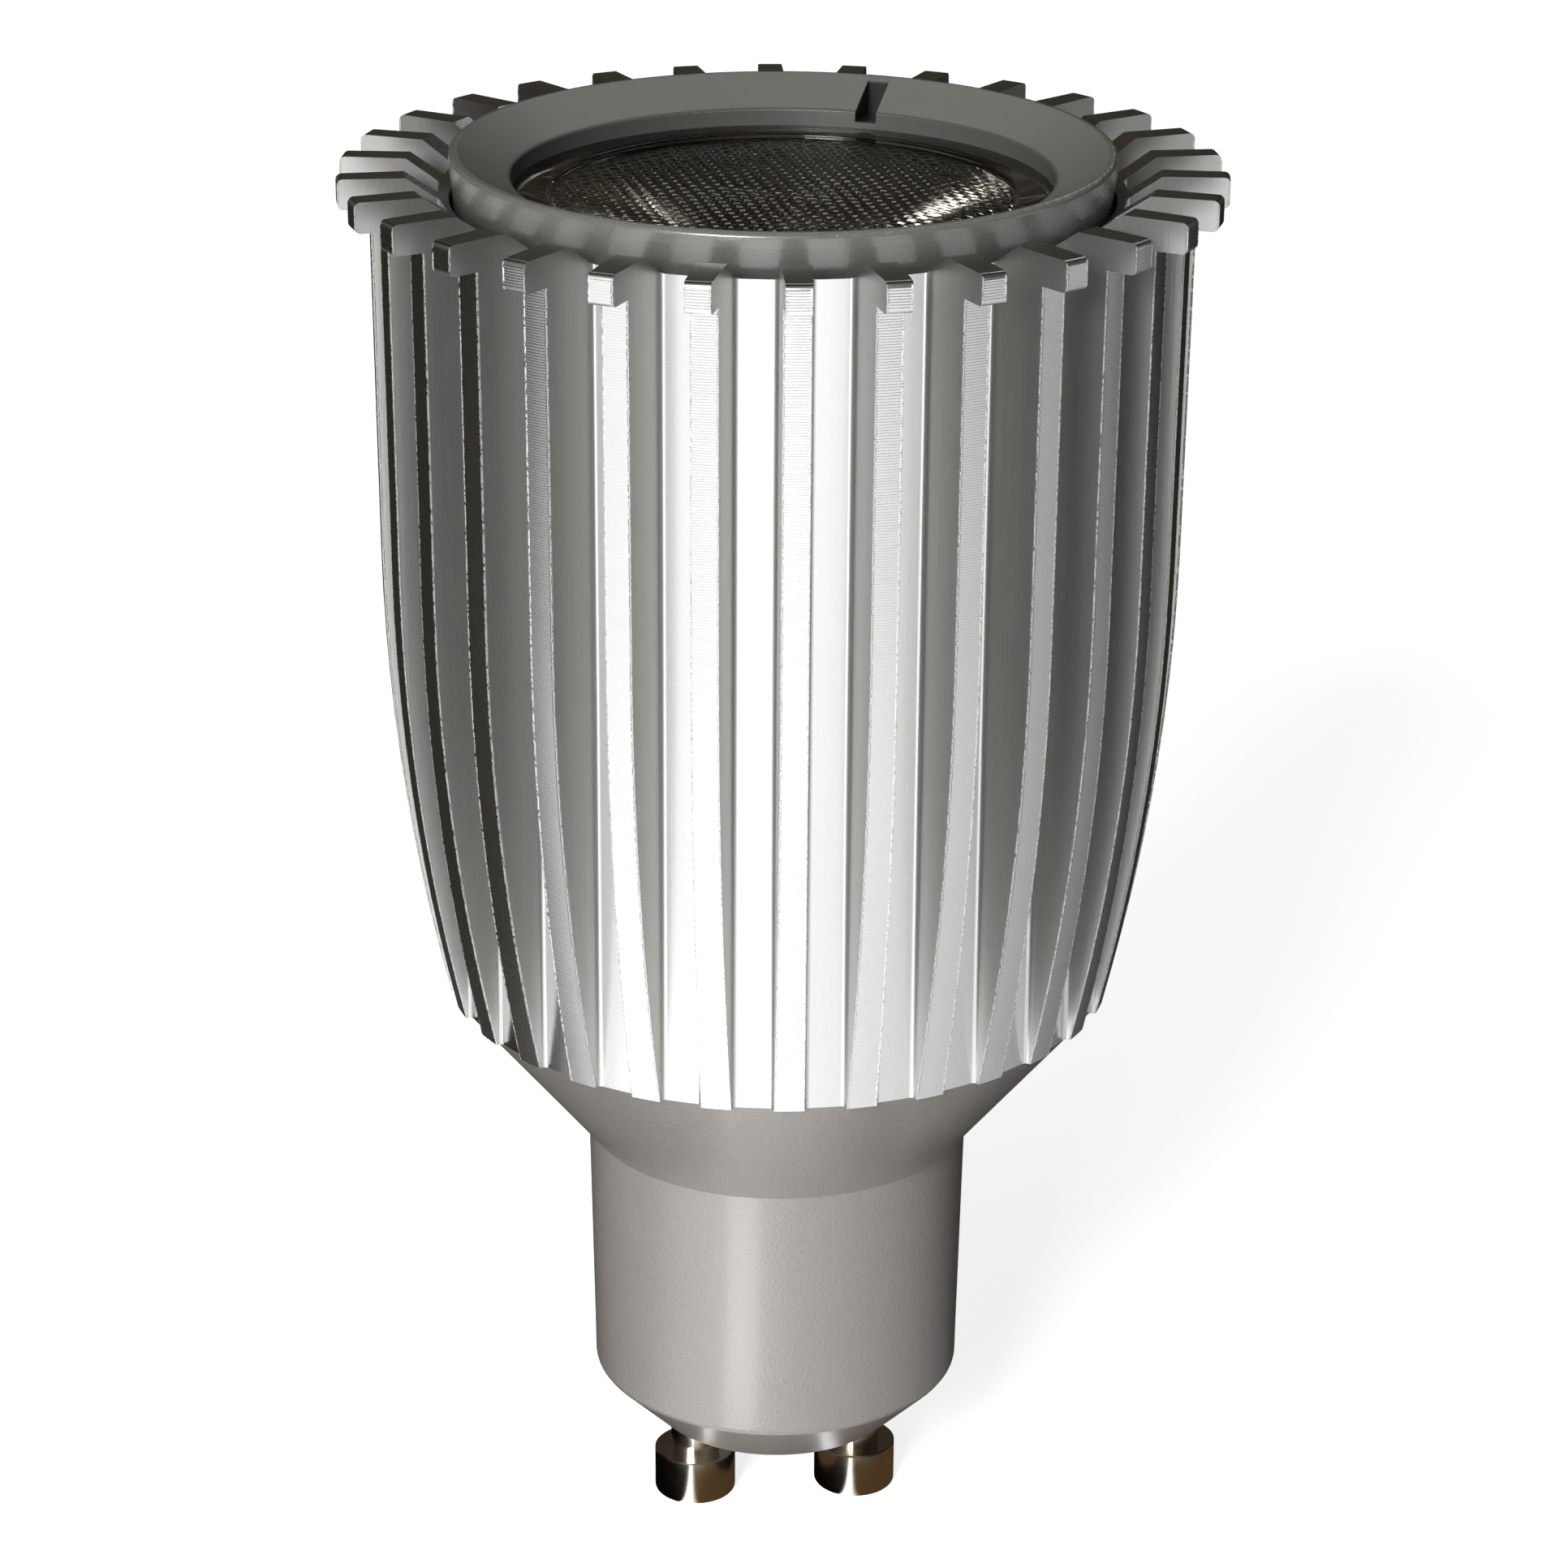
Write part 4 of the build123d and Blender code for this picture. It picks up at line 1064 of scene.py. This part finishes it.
    @staticmethod
    def chip(node, dimple_z):
        """Black moulding compound with a dimple by one leg, and tinned legs past the body."""
        finish = Finish(node + "_compound")
        dimple_x = -1.2
        x, y, z = finish.place()
        low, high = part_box(node)
        middle_z = (low.z + high.z) / 2 / MM
        floor = low.y / MM
        if node == "bridge_rectifier":
            past = (z - middle_z).size().step(2.0, 2.02)
        else:
            past = x.size().step(1.96, 1.98)
        legs = past * (1 - (y - floor).step(0.5, 0.6))
        grit = finish.noise((x, y, z), 11.0)
        from_x, from_z = x - dimple_x, z - middle_z - dimple_z
        dimple = 1 - (from_x * from_x + from_z * from_z).root().step(0.28, 0.34)
        dimple = dimple * (y - floor).step(0.8, 1.0)
        compound = finish.shade((0.018, 0.018, 0.019), 0.8 + 0.4 * grit)
        return finish.surface(
            Base_Color=finish.mix(legs, compound, TIN),
            Metallic=legs,
            Roughness=0.55 - 0.25 * legs - 0.2 * dimple + 0.1 * grit,
            Normal=finish.bump(grit * 0.3 - dimple * 2.0, 0.03 * MM),
        )

    def banded_lacquer(self):
        """A resistor's lacquer with four colour bands round it, and tinned wire beyond its ends."""
        finish = Finish("banded_lacquer")
        wire_length, band_half = 1.2, 0.22
        x, y, z = finish.place()
        low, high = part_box("fuse_resistor")
        body_half = (high.x - low.x) / 2 / MM - wire_length
        wire = x.size().step(body_half, body_half + 0.02)
        flow = finish.noise((x, y, z), 1.2)
        tint = finish.shade((0.06, 0.2, 0.16), 0.9 + 0.2 * flow)
        for place, band in self.BANDS:
            tint = finish.mix(1 - (x - place).size().step(band_half, band_half + 0.04), tint, band)
        return finish.surface(
            Base_Color=finish.mix(wire, tint, TIN),
            Metallic=wire,
            Roughness=0.25 + 0.15 * flow,
            Coat_Weight=(1 - wire) * 0.5,
            Normal=finish.bump(flow, 0.02 * MM),
        )

    @staticmethod
    def zinc(name, reach, pitch):
        """Zinc plate, ridged below the head by a thread.

        The ridges are a sine of the height over the pitch plus the share of the way round, in whole turns.
        """
        finish = Finish(name + "_zinc")
        head = 1.6
        x, y, z = finish.place()
        low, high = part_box(name)
        lengthwise = high.x - low.x > high.y - low.y
        u, v = (x, y) if lengthwise else (y, x)
        turn = v.math("ARCTAN2", v, u.size() - reach) / (2 * pi)
        thread = ((z / pitch + turn) * (2 * pi)).wave()
        top = high.z / MM - head
        shank = 1 - z.step(top - 0.1, top)
        cloud = finish.noise((x, y, z), 1.6, detail=3.0)
        return finish.surface(
            Base_Color=finish.shade((0.58, 0.6, 0.64), 0.88 + 0.2 * cloud),
            Metallic=1.0,
            Roughness=0.24 + 0.2 * cloud,
            Normal=finish.bump(thread * shank + cloud * 0.1, 0.08 * MM),
        )

    @staticmethod
    def copper(name):
        """Lacquered copper wire, a little darker and duller from turn to turn."""
        finish = Finish(name)
        x, y, z = finish.place()
        turn = finish.noise((0.0, 0.0, z), 2.6)
        cloud = finish.noise((x, y, z), 1.1, detail=3.0)
        return finish.surface(
            Base_Color=finish.mix(cloud, (0.5, 0.13, 0.03), (0.74, 0.27, 0.07)),
            Metallic=0.9,
            Roughness=0.2 + 0.2 * turn,
            Coat_Weight=0.6,
            Normal=finish.bump(cloud, 0.01 * MM),
        )

    def wind(self, settings):
        """Winds the wire of the transformer and of the choke."""
        copper = self.copper("lacquered_copper")
        for node, inner in (
            ("transformer_winding", (settings.tube_width, settings.tube_depth, settings.tube_corner)),
            ("choke_winding", (2 * settings.post_radius, 2 * settings.post_radius, settings.post_radius)),
        ):
            low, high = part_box(node)
            size = high - low
            corner = settings.winding_corner if node == "transformer_winding" else size.x / 2
            middle = ((low.x + high.x) / 2, (low.y + high.y) / 2, low.z)
            mesh = coil(node + "_turns", middle, size.z, (size.x, size.y, corner), inner, settings.wire)
            add_piece(mesh, node, copper)


class LAMP_PT_panel(Panel):
    """Lists the lamp's operators and settings"""

    bl_idname = "LAMP_PT_panel"
    bl_label = "Spot Lamp"
    bl_space_type = "VIEW_3D"
    bl_region_type = "UI"
    bl_category = "Spot Lamp"

    def draw(self, context):
        for operator in OPERATORS:
            self.layout.operator(operator.bl_idname)
        for name, group in SETTINGS.items():
            box = self.layout.box()
            for setting in group.__annotations__:
                box.prop(getattr(context.scene, name), setting)


SETTINGS = {
    "lamp_stage": StageSettings,
    "lamp_metal": MetalSettings,
    "lamp_plastic": PlasticSettings,
    "lamp_lens": LensSettings,
    "lamp_winding": WindingSettings,
}
OPERATORS = (LAMP_OT_heatsink, LAMP_OT_mouldings, LAMP_OT_pins, LAMP_OT_lens, LAMP_OT_inside, LAMP_OT_stage)


def register():
    for group in SETTINGS.values():
        bpy.utils.register_class(group)
    for name, group in SETTINGS.items():
        setattr(bpy.types.Scene, name, PointerProperty(type=group))
    for operator in OPERATORS:
        bpy.utils.register_class(operator)
    bpy.utils.register_class(LAMP_PT_panel)


def unregister():
    bpy.utils.unregister_class(LAMP_PT_panel)
    for operator in reversed(OPERATORS):
        bpy.utils.unregister_class(operator)
    for name in SETTINGS:
        delattr(bpy.types.Scene, name)
    for group in SETTINGS.values():
        bpy.utils.unregister_class(group)


def main():
    register()
    bpy.ops.lamp.heatsink()
    bpy.ops.lamp.mouldings()
    bpy.ops.lamp.pins()
    bpy.ops.lamp.lens()
    bpy.ops.lamp.inside()
    bpy.ops.lamp.stage()


if __name__ == "__main__":
    main()
